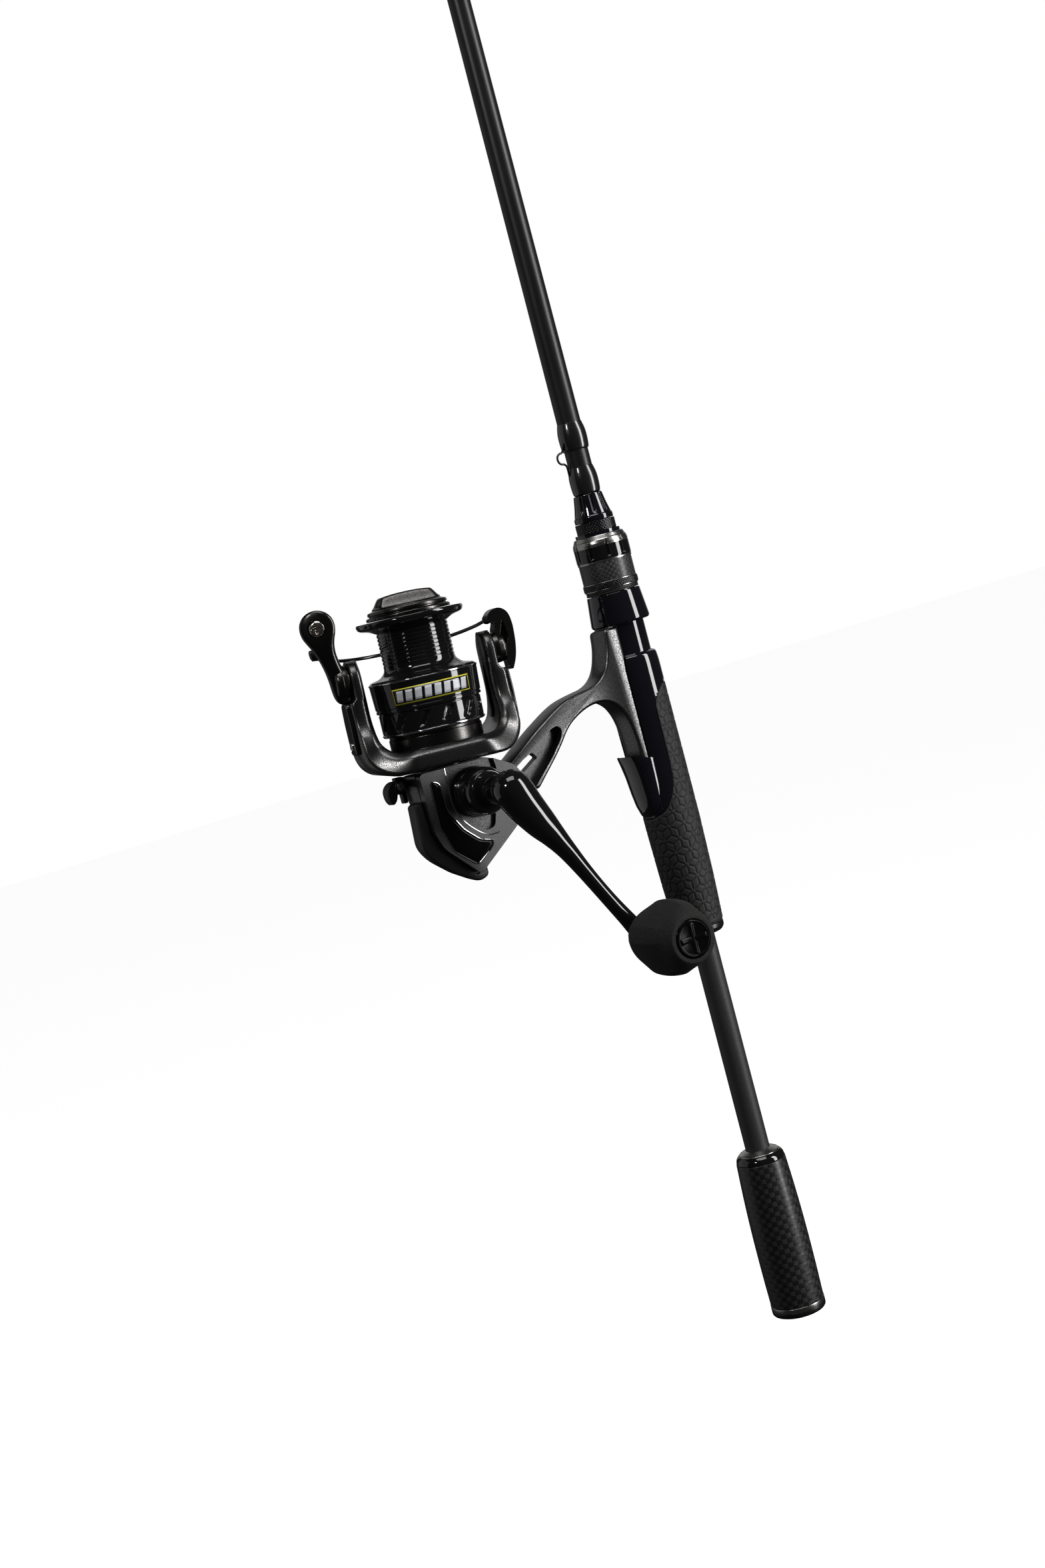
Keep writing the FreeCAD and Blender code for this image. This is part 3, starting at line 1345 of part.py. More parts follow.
def make_stop_lever():
    """The switch behind the housing that turns the anti-reverse off, and its pivot screw."""
    lever = Piece("stop_lever", reel_frame())
    wing = [
        ("stop_x + 1.8", "stop_z + 1.9"),
        ("stop_x - 4.8", "stop_z + 2.4"),
        ("stop_x - 6.4", "stop_z - 3.4"),
        ("stop_x - 4.4", "stop_z - 7.4"),
        ("stop_x - 2", "stop_z - 5.2"),
        ("stop_x - 1.4", "stop_z - 2.2"),
        ("stop_x + 1.8", "stop_z - 2.2"),
    ]
    lever.pad("XZ", wing, "-1 * stop_half_width", "stop_half_width")
    lever.pocket("XZ", ("screw_radius + running", "stop_x", "stop_z"), "-1 * stop_half_width", "stop_half_width")
    screw = Piece("stop_lever_screw", across("stop_x", "stop_half_width + 4", "stop_z"))
    head = "2 * stop_half_width + 4 + free_gap"
    screw.turn([
        ("0", "0"),
        ("screw_radius", "0"),
        ("screw_radius", head),
        ("stop_radius", head),
        ("stop_radius", f"{head} + 1.2"),
        ("0", f"{head} + 1.2"),
    ])


# ---------------------------------------------------------------- build, check and export

make_blank()
make_butt()
make_rear_grip()
make_seat()
make_hood_and_nut()
wrap_start = make_winding_check()
make_wraps(wrap_start)
make_hook_keeper(wrap_start)
make_guides()
make_tip_top()
make_housing()
make_covers()
make_bearing_seats()
make_case_pins()
make_drive_gear()
make_slider_gear()
make_pinion()
make_main_shaft()
make_rotor()
make_arm_covers()
make_bail_holder(*make_bail_wire(*make_bail_lever()))
make_spool()
make_drag_knob()
make_crank()
make_knob()
make_stop_lever()
doc.recompute()

for thing in doc.Objects:
    if {"Invalid", "Error"} & set(thing.State):
        raise RuntimeError(f"{thing.Label} failed: {thing.State}")
os.makedirs("parts", exist_ok=True)
for part in SUB_PARTS:
    if part.Shape.isNull() or not part.Shape.isValid() or not part.Shape.Solids:
        raise RuntimeError(f"{part.Label} has no valid shape")
    part.Shape.exportStep(f"parts/{part.Label}.step")
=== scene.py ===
import json
import math

import bmesh
import bpy
from mathutils import Matrix, Vector


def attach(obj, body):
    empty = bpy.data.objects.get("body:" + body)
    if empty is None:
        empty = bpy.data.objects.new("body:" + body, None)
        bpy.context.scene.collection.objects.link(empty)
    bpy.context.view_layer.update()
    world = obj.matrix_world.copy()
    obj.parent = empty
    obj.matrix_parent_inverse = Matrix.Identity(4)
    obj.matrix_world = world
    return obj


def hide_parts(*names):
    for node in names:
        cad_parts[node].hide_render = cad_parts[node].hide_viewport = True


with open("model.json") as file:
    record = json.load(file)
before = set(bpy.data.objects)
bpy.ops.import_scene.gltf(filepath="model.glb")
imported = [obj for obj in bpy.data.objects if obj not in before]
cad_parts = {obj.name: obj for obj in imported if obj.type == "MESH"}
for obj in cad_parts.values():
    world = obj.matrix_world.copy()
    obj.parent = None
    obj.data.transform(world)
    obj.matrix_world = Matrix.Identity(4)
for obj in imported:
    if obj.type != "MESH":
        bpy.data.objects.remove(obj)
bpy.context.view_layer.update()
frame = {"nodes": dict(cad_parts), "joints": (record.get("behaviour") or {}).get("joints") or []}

JOINTS = {joint["name"]: joint for joint in frame["joints"]}
SCENE = bpy.context.scene

# ---- frames, in millimetres

MM = Matrix.Scale(0.001, 4)
ROD = MM.copy()


def frame_at(origin, along_x, along_z):
    """A frame in millimetres from an origin in metres and two of its axes."""
    up = Vector(along_z).normalized()
    side = (Vector(along_x) - up * up.dot(Vector(along_x))).normalized()
    turned = Matrix((side, up.cross(side), up)).transposed().to_4x4()
    return Matrix.Translation(Vector(origin)) @ turned @ MM


SPOOL_AXIS = Vector(JOINTS["rotor_turn"]["axis"])
REEL = frame_at(JOINTS["rotor_turn"]["pos_m"], (1, 0, 0), SPOOL_AXIS)
ROTOR = frame_at(JOINTS["rotor_turn"]["pos_m"], JOINTS["bail_swing"]["axis"], SPOOL_AXIS)
CRANK_HEIGHT, ARM_REACH = 5.5, 49
CRANK = REEL @ Matrix.Translation((CRANK_HEIGHT, 0, 0)) @ Matrix.Rotation(math.radians(90), 4, "X")
ARM_LEAN = math.radians(29.6)
ARM = REEL @ Matrix.Translation((CRANK_HEIGHT, -ARM_REACH, 0)) @ Matrix.Rotation(math.pi - ARM_LEAN, 4, "Y")
KNOB = frame_at(JOINTS["knob_spin"]["pos_m"], (1, 0, 0), JOINTS["knob_spin"]["axis"])
HEAD_SPOT, HEAD_TURN = Vector((-42, -6, 83.6)), math.radians(20)
HEAD = ROTOR @ Matrix.Translation(HEAD_SPOT) @ Matrix.Rotation(-HEAD_TURN, 4, "Z")
BAIL_HEIGHT = 58.6


# ---- finishes

class Wire:
    """A node's socket; sums on it add Math nodes to its finish."""

    def __init__(self, finish, socket):
        self.finish, self.socket = finish, socket

    def math(self, operation, *values):
        return self.finish.node("Math", {"operation": operation}, *values)

    def __add__(self, other):
        return self.math("ADD", self, other)

    def __sub__(self, other):
        return self.math("SUBTRACT", self, other)

    def __rsub__(self, other):
        return self.math("SUBTRACT", other, self)

    def __mul__(self, other):
        return self.math("MULTIPLY", self, other)

    def __truediv__(self, other):
        return self.math("DIVIDE", self, other)

    def __gt__(self, other):
        return self.math("GREATER_THAN", self, other)

    __radd__, __rmul__ = __add__, __mul__

    def at_most(self, other):
        return self.math("MINIMUM", self, other)

    def at_least(self, other):
        return self.math("MAXIMUM", self, other)

    def sine(self):
        return self.math("SINE", self)

    def size(self):
        return self.math("ABSOLUTE", self)

    def wrapped(self, length):
        """What is left over whole lengths, from 0 to length."""
        return self.math("FLOORED_MODULO", self, length)


class Finish:
    """A material built from nodes."""

    def __init__(self, name, **fixed):
        self.material = bpy.data.materials.new(name)
        self.material.use_nodes = True
        self.shader = self.material.node_tree.nodes["Principled BSDF"]
        for socket, amount in fixed.items():
            self.shader.inputs[socket.replace("_", " ")].default_value = amount

    def node(self, kind, settings, *values, output=0, **named):
        made = self.material.node_tree.nodes.new("ShaderNode" + kind)
        for name, setting in settings.items():
            if name == "stops":
                ramp = made.color_ramp.elements
                for here, (place, colour) in enumerate(setting):
                    stop = ramp[here] if here < 2 else ramp.new(place)
                    stop.position, stop.color = place, (*colour, 1)
            else:
                setattr(made, name, setting)
        for place, given in [*enumerate(values), *named.items()]:
            self.feed(made.inputs[place], given)
        return Wire(self, made.outputs[output])

    def feed(self, socket, given):
        if isinstance(given, Wire):
            self.material.node_tree.links.new(given.socket, socket)
        else:
            socket.default_value = given

    def set(self, **named):
        for socket, given in named.items():
            self.feed(self.shader.inputs[socket.replace("_", " ")], given)
        return self

    def place(self):
        return self.node("TexCoord", {}, output="Object")

    def parts(self):
        where = self.place()
        return [self.node("SeparateXYZ", {}, where, output=here) for here in range(3)]

    def around(self):
        """Angle round the rod and height, both in millimetres on a handle of 12 mm radius."""
        x, y, z = self.parts()
        return x.math("ARCTAN2", y, x) * 12, z * 1000

    def noise(self, size_mm, detail=2.0, where=None, stretch=None):
        where = where or self.place()
        if stretch:
            where = self.node("VectorMath", {"operation": "MULTIPLY"}, where, stretch)
        return self.node("TexNoise", {}, where, Scale=1000 / size_mm, Detail=detail)

    def blend(self, share, low, high):
        mix = self.node("Mix", {"data_type": "RGBA"}, output="Result")
        tree = mix.socket.node
        made = [socket for socket in tree.inputs if socket.enabled]
        self.feed(made[0], share)
        for socket, given in zip(made[1:], (low, high)):
            self.feed(socket, given if isinstance(given, Wire) else (*given, 1))
        return Wire(self, next(socket for socket in tree.outputs if socket.enabled))

    def range(self, share, low, high):
        return share * (high - low) + low

    def bump(self, height, depth_mm, strength=1.0):
        normal = self.node("Bump", {}, Strength=strength, Distance=depth_mm / 1000, Height=height)
        self.feed(self.shader.inputs["Normal"], normal)
        return self


FINISHES = {}


def finish(name, **fixed):
    made = Finish(name, **fixed)
    FINISHES[name] = made
    return made


def plain_gloss(name, tone, roughness, wear, **fixed):
    """A moulded or painted gloss surface with a slight unevenness in its polish."""
    made = finish(name, **fixed)
    cloud = made.noise(9)
    fine = made.noise(0.5, 3)
    dark = tuple(level * 0.75 for level in tone)
    made.set(Base_Color=made.blend(cloud, dark, tone))
    made.set(Roughness=made.range(fine, roughness - wear, roughness + wear))
    return made.bump(cloud, 0.01, 0.3)


def flake_metal(name, dark, light, roughness, grain=0.28):
    """Satin paint with fine metal flakes."""
    made = finish(name, Metallic=1.0)
    flakes = made.noise(grain, 2)
    sharp = ((flakes - 0.5) * 4 + 0.5).at_least(0).at_most(1)
    cloud = made.noise(14)
    made.set(Base_Color=made.blend(sharp, dark, light))
    made.set(Roughness=made.range(sharp, roughness + 0.06, roughness - 0.05) + (cloud - 0.5) * 0.06)
    return made.bump(flakes, 0.03, 0.5)


def turned_metal(name, tone, roughness):
    """Lathe-turned metal with fine rings round the rod."""
    made = finish(name, Metallic=1.0)
    rings = made.noise(0.25, 3, stretch=(0.03, 0.03, 1))
    made.set(Base_Color=made.blend(rings, tuple(level * 0.8 for level in tone), tone))
    made.set(Roughness=made.range(rings, roughness - 0.06, roughness + 0.08))
    return made.bump(rings, 0.02, 0.6)


def woven(name, square, dark, light):
    """Carbon cloth under a satin coat: squares that turn their fibres across each other."""
    made = finish(name, Coat_Weight=0.35, Coat_Roughness=0.22, Metallic=0.1)
    around, up = made.around()
    column, row = around / square, up / square
    wander = (made.noise(6) - 0.5) * 0.35
    column, row = column + wander, row + wander
    check = (column.math("FLOOR", column) + row.math("FLOOR", row)).wrapped(2)
    across, along = column.wrapped(1), row.wrapped(1)
    fibres_up = (column * 40).sine() * 0.5 + 0.5
    fibres_round = (row * 40).sine() * 0.5 + 0.5
    fibres = check * fibres_up + (1 - check) * fibres_round
    crown = check * (1 - (across - 0.5).size() * 2) + (1 - check) * (1 - (along - 0.5).size() * 2)
    edge = ((across - 0.5).size() > 0.44).at_least((along - 0.5).size() > 0.44)
    cloud = made.noise(11, 3)
    share = check * (0.55 + cloud * 0.6) + fibres * 0.12
    cloth = made.blend(share.at_least(0).at_most(1), dark, light)
    made.set(Base_Color=made.blend(edge * 0.6, cloth, tuple(level * 0.4 for level in dark)))
    made.set(Roughness=0.38 + check * 0.14)
    return made.bump(crown + fibres * 0.15, 0.08, 0.7)


def grained(name, size, dark, light, smooth, rough, depth, detail=3):
    """A dull surface with a fine grain that its colour, polish and height follow."""
    made = finish(name)
    grain = made.noise(size, detail)
    made.set(Base_Color=made.blend(grain, dark, light))
    made.set(Roughness=made.range(grain, smooth, rough)).bump(grain, depth, 0.6)


def ink(name, dark, light, smooth):
    made = finish(name)
    shade = made.noise(3)
    made.set(Base_Color=made.blend(shade, dark, light))
    made.set(Roughness=made.range(shade, smooth, smooth + 0.1))


def make_rubber():
    """Rubber with painted shade darkening its grooves, which a mesh attribute of the grip marks."""
    rubber = finish("grip_rubber")
    line = rubber.node("Attribute", {"attribute_name": "groove_shade"}, output="Fac")
    grain = rubber.noise(0.3, 3)
    face = rubber.blend(grain, (0.014, 0.0135, 0.0135), (0.022, 0.021, 0.021))
    # painted shade: where the grip's attribute marks a groove, the colour goes to near black
    rubber.set(Base_Color=rubber.blend(line, face, (0.0035, 0.0035, 0.0035)))
    rubber.set(Roughness=rubber.range(grain, 0.55, 0.72)).bump(grain, 0.04, 0.5)


def make_foam():
    """Foam with open pores, with painted shade in them as dark specks."""
    foam = finish("knob_foam")
    pores = foam.noise(0.45, 4)
    # painted shade: the open pores are darkened into near-black specks
    pore_shade_specks = ((pores - 0.46) * 9).at_least(0).at_most(1)
    foam.set(Base_Color=foam.blend(pore_shade_specks, (0.004, 0.0038, 0.0036), (0.02, 0.0185, 0.0175)))
    foam.set(Roughness=foam.range(pores, 0.75, 0.95)).bump(pores, 0.12, 0.8)


def make_thread():
    """Turns of thread under a thick coat of varnish."""
    thread = finish("varnished_thread", Coat_Weight=1.0, Coat_Roughness=0.03)
    _, up = thread.around()
    turns = (up * 22).sine() * 0.5 + 0.5
    thread.set(Base_Color=thread.blend(turns, (0.006, 0.006, 0.007), (0.016, 0.016, 0.018)))
    thread.set(Roughness=thread.range(turns, 0.18, 0.3)).bump(turns, 0.02, 0.25)


def make_satin_blank():
    satin = finish("satin_blank")
    cloud = satin.noise(2.5, 3, stretch=(1, 1, 0.1))
    satin.set(Base_Color=satin.blend(cloud, (0.006, 0.006, 0.0066), (0.011, 0.011, 0.0116)))
    satin.set(Roughness=satin.range(cloud, 0.3, 0.4)).bump(satin.noise(0.4), 0.01, 0.4)


def make_finishes():
    flake_metal("gunmetal", (0.05, 0.049, 0.049), (0.2, 0.196, 0.194), 0.29)
    flake_metal("gunmetal_cover", (0.055, 0.054, 0.0545), (0.21, 0.206, 0.208), 0.33, grain=0.32)
    flake_metal("gunmetal_smooth", (0.05, 0.048, 0.0465), (0.12, 0.116, 0.112), 0.24)
    plain_gloss("gloss_black", (0.008, 0.008, 0.009), 0.07, 0.03, Coat_Weight=0.6, Coat_Roughness=0.03)
    plain_gloss("crank_gloss", (0.009, 0.008, 0.008), 0.09, 0.03, Coat_Weight=0.7, Coat_Roughness=0.04)
    plain_gloss("seat_gloss", (0.007, 0.007, 0.011), 0.06, 0.02, Coat_Weight=0.7, Coat_Roughness=0.02)
    plain_gloss("deep_black", (0.004, 0.004, 0.0045), 0.12, 0.03, Specular_IOR_Level=0.08)
    plain_gloss("wire_gloss", (0.01, 0.01, 0.01), 0.16, 0.05)
    plain_gloss("satin_black", (0.008, 0.008, 0.0085), 0.3, 0.05)
    plain_gloss("ring_ceramic", (0.03, 0.03, 0.034), 0.1, 0.03)
    turned_metal("silver", (0.5, 0.49, 0.48), 0.24)
    turned_metal("dark_steel", (0.34, 0.34, 0.35), 0.3)
    turned_metal("gear_brass", (0.62, 0.47, 0.22), 0.3)
    plain_gloss("nickel", (0.66, 0.63, 0.58), 0.2, 0.05, Metallic=1.0)
    plain_gloss("trim_chrome", (0.85, 0.86, 0.88), 0.1, 0.03, Metallic=1.0)
    plain_gloss("black_anodised", (0.014, 0.014, 0.016), 0.2, 0.05, Metallic=0.3)
    woven("carbon_cloth", 2.3, (0.009, 0.0085, 0.0088), (0.032, 0.029, 0.029))
    woven("carbon_sleeve", 1.25, (0.02, 0.0195, 0.0195), (0.05, 0.0485, 0.0485))
    grained("matte_plastic", 0.22, (0.007, 0.007, 0.0073), (0.015, 0.0148, 0.015), 0.42, 0.58, 0.05)
    grained("bare_blank", 0.5, (0.012, 0.0115, 0.0115), (0.045, 0.0435, 0.043), 0.4, 0.6, 0.06)
    grained("felt", 0.6, (0.12, 0.1, 0.07), (0.3, 0.27, 0.2), 0.8, 0.95, 0.2, detail=4)
    ink("label_ink", (0.62, 0.63, 0.66), (0.8, 0.81, 0.84), 0.2)
    ink("label_edge", (0.65, 0.6, 0.03), (0.8, 0.74, 0.05), 0.25)
    make_rubber()
    make_foam()
    make_thread()
    make_satin_blank()


# ---- shapes

def angles(steps):
    return [2 * math.pi * step / steps for step in range(steps)]


def circle(radius, height, steps):
    return [(radius * math.cos(angle), radius * math.sin(angle), height) for angle in angles(steps)]


def squared(share, power):
    """A cosine or sine bent so that its circle turns into a rounded square."""
    return math.copysign(abs(share) ** (2 / power), share)


def at_depth(outline, depth):
    """A side view's outline at a depth along Y."""
    return [(x, depth, z) for x, z in outline]


def soften(points, reach=0.0, loop=True, steps=4):
    """Rounds a line's corners; a point's own third number is the reach at its corner."""
    spots = [Vector((point[0], point[1])) for point in points]
    made = []
    for here, (point, spot) in enumerate(zip(points, spots)):
        size = point[2] if len(point) > 2 else reach
        if not size or (not loop and here in (0, len(points) - 1)):
            made.append(spot)
            continue
        back, ahead = spots[here - 1] - spot, spots[(here + 1) % len(spots)] - spot
        start = spot + back * min(size / max(back.length, 1e-6), 0.48)
        end = spot + ahead * min(size / max(ahead.length, 1e-6), 0.48)
        for step in range(steps + 1):
            t = step / steps
            made.append(start * (1 - t) ** 2 + spot * 2 * t * (1 - t) + end * t * t)
    return [(spot.x, spot.y) for spot in made]


def shrunk(outline, here, inset):
    """A corner of a closed outline, moved inwards by a distance."""
    count = len(outline)
    spot = Vector(outline[here][:2])
    back = (spot - Vector(outline[here - 1][:2])).normalized()
    ahead = (Vector(outline[(here + 1) % count][:2]) - spot).normalized()
    area = sum(a[0] * b[1] - b[0] * a[1] for a, b in zip(outline, outline[1:] + outline[:1]))
    turn = 1 if area > 0 else -1
    one, two = Vector((-back.y, back.x)) * turn, Vector((-ahead.y, ahead.x)) * turn
    middle = (one + two).normalized()
    moved = spot + middle * (inset / max(0.4, middle.dot(one)))
    return moved.x, moved.y


def pulled_in(outline, insets, reach=0.0, steps=4):
    """A rounded outline with its corners moved inwards by one distance or by one each."""
    insets = insets if isinstance(insets, list) else [insets] * len(outline)
    corners = [(*shrunk(outline, here, inset), *outline[here][2:]) for here, inset in enumerate(insets)]
    return soften(corners, reach, steps=steps)


def divided(points, longest, loop=False):
    """The same line with no run longer than a given length."""
    made = []
    pairs = list(zip(points, points[1:])) + ([(points[-1], points[0])] if loop else [])
    for start, end in pairs:
        parts = max(1, math.ceil(math.dist(start, end) / longest))
        for step in range(parts):
            t = step / parts
            made.append((start[0] + (end[0] - start[0]) * t, start[1] + (end[1] - start[1]) * t))
    return made if loop else made + [points[-1]]


def lathe(profile, steps=96, loop=False, swell=None):
    """Vertices and faces of a line of (radius, height) turned about Z."""
    spots, rings, faces = [], [], []
    for radius, height in profile:
        if radius < 1e-6:
            rings.append([len(spots)] * steps)
            spots.append((0, 0, height))
            continue
        rings.append(list(range(len(spots), len(spots) + steps)))
        for angle in angles(steps):
            reach = swell(angle, radius, height) if swell else radius
            spots.append((reach * math.cos(angle), reach * math.sin(angle), height))
    pairs = list(zip(rings, rings[1:])) + ([(rings[-1], rings[0])] if loop else [])
    for low, high in pairs:
        for step in range(steps):
            after = (step + 1) % steps
            corners = [low[step], low[after], high[after], high[step]]
            kept = [corner for here, corner in enumerate(corners) if corner != corners[here - 1]]
            if len(kept) > 2:
                faces.append(kept)
    return spots, faces


def loft(rings, ends=True, loop=False):
    """Skin over rings that have the same number of points."""
    count = len(rings[0])
    spots = [tuple(spot) for ring in rings for spot in ring]
    faces = []
    pairs = [(here, here + 1) for here in range(len(rings) - 1)] + ([(len(rings) - 1, 0)] if loop else [])
    for low, high in pairs:
        for step in range(count):
            after = (step + 1) % count
            faces.append([low * count + step, low * count + after, high * count + after,
                          high * count + step])
    if ends and not loop:
        faces.append(list(range(count))[::-1])
        faces.append([(len(rings) - 1) * count + step for step in range(count)])
    return spots, faces


def prism(outline, low, high, plane="XZ"):
    """An outline raised from low to high along the plane's normal."""
    def spot(a, b, height):
        return {"XZ": (a, height, b), "YZ": (height, a, b), "XY": (a, b, height)}[plane]

    return loft([[spot(a, b, height) for a, b in outline] for height in (low, high)])


def tube(path, radius, steps=16, taper=None):
    """A round bar along a line of points."""
    spots = [Vector(spot) for spot in path]
    rings, side = [], None
    for here, spot in enumerate(spots):
        ahead = (spots[min(here + 1, len(spots) - 1)] - spots[max(here - 1, 0)]).normalized()
        if side is None:
            side = ahead.orthogonal().normalized()
        side = (side - ahead * side.dot(ahead)).normalized()
        other = ahead.cross(side)
        reach = radius * (taper[here] if taper else 1)
        rings.append([
            spot + (side * math.cos(angle) + other * math.sin(angle)) * reach for angle in angles(steps)
        ])
    return loft(rings)


def smooth_path(spots, steps=8):
    """Points on a smooth line through the given ones."""
    spots = [Vector(spot) for spot in spots]
    held = [spots[0] * 2 - spots[1], *spots, spots[-1] * 2 - spots[-2]]
    made = []
    for a, b, c, d in zip(held, held[1:], held[2:], held[3:]):
        for step in range(steps):
            t = step / steps
            made.append(
                b + (c - a) * (t / 2) + (a * 2 - b * 5 + c * 4 - d) * (t * t / 2)
                + (b * 3 - a - c * 3 + d) * (t**3 / 2)
            )
    return made + [spots[-1]]


def mesh_of(name, shape, place):
    spots, faces = shape
    mesh = bpy.data.meshes.new(name)
    mesh.from_pydata([place @ Vector(spot) for spot in spots], [], faces)
    work = bmesh.new()
    work.from_mesh(mesh)
    bmesh.ops.remove_doubles(work, verts=work.verts, dist=1e-7)
    bmesh.ops.recalc_face_normals(work, faces=work.faces)
    work.to_mesh(mesh)
    work.free()
    return mesh


def carve(thing, *cutters):
    """Takes the cutters' shapes out of a piece."""
    for shape, place in cutters:
        tool = bpy.data.objects.new("cutter", mesh_of("cutter", shape, place))
        SCENE.collection.objects.link(tool)
        cut = thing.modifiers.new("cut", "BOOLEAN")
        cut.operation, cut.object, cut.solver = "DIFFERENCE", tool, "EXACT"
        bpy.context.view_layer.update()
        result = bpy.data.meshes.new_from_object(thing.evaluated_get(bpy.context.evaluated_depsgraph_get()))
        thing.modifiers.clear()
        thing.data = result
        bpy.data.objects.remove(tool)


def piece(name, body, look, shape, place, replaces=None, edge=0.0, sharp=35, cutters=()):
    """A finished piece on a body; without replaces it stands for the node of its own name, if any."""
    if replaces is None:
        replaces = [name] if name in frame["nodes"] else []
    thing = bpy.data.objects.new(name, mesh_of(name, shape, place))
    SCENE.collection.objects.link(thing)
    if cutters:
        carve(thing, *cutters)
    thing.data.materials.clear()
    thing.data.materials.append(FINISHES[look].material)
    thing.data.polygons.foreach_set("use_smooth", [True] * len(thing.data.polygons))
    thing.data.polygons.foreach_set("material_index", [0] * len(thing.data.polygons))
    thing.data.set_sharp_from_angle(angle=math.radians(sharp))
    if edge:
        bevel = thing.modifiers.new("edge", "BEVEL")
        bevel.width, bevel.segments, bevel.limit_method = edge / 1000, 3, "ANGLE"
        bevel.angle_limit, bevel.harden_normals = math.radians(sharp), True
        bevel.use_clamp_overlap = True
    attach(thing, body)
    if replaces:
        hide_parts(*replaces)
    return thing


def level(low, high, value):
    """0 below low, 1 above high and smooth between."""
    t = max(0.0, min(1.0, (value - low) / (high - low)))
    return t * t * (3 - 2 * t)


# ---- camera, light and floor

VIEW_TURN = math.radians(27)
VIEW_DROP = math.radians(5.7)
VIEW_ROLL = math.radians(14.96)
VIEW_DISTANCE, VIEW_ASIDE, VIEW_HEIGHT = 1.0, 0.0627, 0.3755


def make_camera():
    level_ahead = Vector((math.sin(VIEW_TURN), math.cos(VIEW_TURN), 0))
    right = Vector((math.cos(VIEW_TURN), -math.sin(VIEW_TURN), 0))
    ahead = level_ahead * math.cos(VIEW_DROP) - Vector((0, 0, math.sin(VIEW_DROP)))
    up = right.cross(ahead)
    spot = -(right * VIEW_ASIDE + level_ahead * VIEW_DISTANCE) + Vector((0, 0, VIEW_HEIGHT))
    across = right * math.cos(VIEW_ROLL) - up * math.sin(VIEW_ROLL)
    over = up * math.cos(VIEW_ROLL) + right * math.sin(VIEW_ROLL)
    turned = Matrix((across, over, -ahead)).transposed().to_4x4()
    data = bpy.data.cameras.new("camera")
    data.lens, data.sensor_fit, data.sensor_height = 50, "VERTICAL", 36
    data.clip_start, data.clip_end = 0.01, 100
    camera = bpy.data.objects.new("camera", data)
    camera.matrix_world = Matrix.Translation(spot) @ turned
    SCENE.collection.objects.link(camera)
    SCENE.camera = camera


def softbox(name, bearing, distance, height, wide, tall, power, aim=(-0.05, 0, 0.3)):
    """A panel at a bearing from the camera's side of the reel, in degrees, positive to the right."""
    turn = math.atan2(-math.cos(VIEW_TURN), -math.sin(VIEW_TURN)) + math.radians(bearing)
    spot = Vector((math.cos(turn) * distance - 0.05, math.sin(turn) * distance, height))
    data = bpy.data.lights.new(name, "AREA")
    data.shape, data.size, data.size_y, data.energy = "RECTANGLE", wide, tall, power
    lamp = bpy.data.objects.new(name, data)
    lamp.location = spot
    lamp.rotation_euler = (Vector(aim) - spot).to_track_quat("-Z", "Y").to_euler()
    SCENE.collection.objects.link(lamp)


def make_studio():
    softbox("right_strip", 70, 1.5, 0.5, 0.42, 1.8, 21)
    softbox("left_wall", -105, 1.5, 0.5, 1.9, 2.0, 3.0)
    softbox("top_box", 10, 0.6, 1.7, 1.0, 0.7, 7)
    softbox("front_spot", -32, 1.4, 1.15, 0.16, 0.16, 4)
    softbox("back_fill", 175, 1.6, 0.8, 1.6, 1.6, 3)
    world = bpy.data.worlds.new("studio")
    world.use_nodes = True
    tree = world.node_tree
    back = tree.nodes["Background"]
    back.inputs["Color"].default_value = (1, 1, 1, 1)
    seen = tree.nodes.new("ShaderNodeLightPath")
    strength = tree.nodes.new("ShaderNodeMapRange")
    strength.inputs["To Min"].default_value = 0.02
    strength.inputs["To Max"].default_value = 1.0
    tree.links.new(seen.outputs["Is Camera Ray"], strength.inputs["Value"])
    tree.links.new(strength.outputs["Result"], back.inputs["Strength"])
    SCENE.world = world
    SCENE.view_settings.view_transform = "Standard"
    SCENE.view_settings.look = "None"


def make_floor():
    pale = finish("pale_floor", Roughness=0.9)
    cloud = pale.noise(400)
    pale.set(Base_Color=pale.blend(cloud, (0.93, 0.93, 0.93), (0.95, 0.95, 0.95)))
    pale.set(Emission_Color=(1, 1, 1, 1))
    pale.shader.inputs["Emission Strength"].default_value = 0.95
    slab = prism([(-9, -9), (9, -9), (9, 9), (-9, 9)], -0.01, 0, "XY")
    floor = bpy.data.objects.new("floor", mesh_of("floor", slab, Matrix()))
    floor.location = (0, 0, -0.45)
    floor.visible_diffuse = floor.visible_glossy = False
    floor.data.materials.append(pale.material)
    SCENE.collection.objects.link(floor)


# ---- rod: butt, grips and blank

ROD_LENGTH = 2134


def blank_radius(height):
    for low, high, wide, narrow in ((0, 400, 5.85, 5.56), (400, 1400, 5.56, 3.2),
            (1400, ROD_LENGTH, 3.2, 1.05)):
        if height <= high:
            return wide - (wide - narrow) * (height - low) / (high - low)
    return 1.05


def ring_profile(inner, outer, low, high, round_edge=0.3):
    return soften([(inner, low), (outer, low, round_edge), (outer, high, round_edge), (inner, high)])


def make_blank():
    for name, low, high, look in (("blank_handle", 1.4, 215, "bare_blank"),
            ("blank_rod", 215, ROD_LENGTH, "satin_blank")):
        heights = [low, *[height for height in (400, 1400) if low < height < high], high]
        profile = [(blank_radius(height), height) for height in heights]
        wall = [(radius - (1.1 if height < 2000 else 0.5), height) for radius, height in profile[::-1]]
        piece(name, "rod", look, lathe(profile + wall, 64, loop=True), ROD, ["rod_blank"])


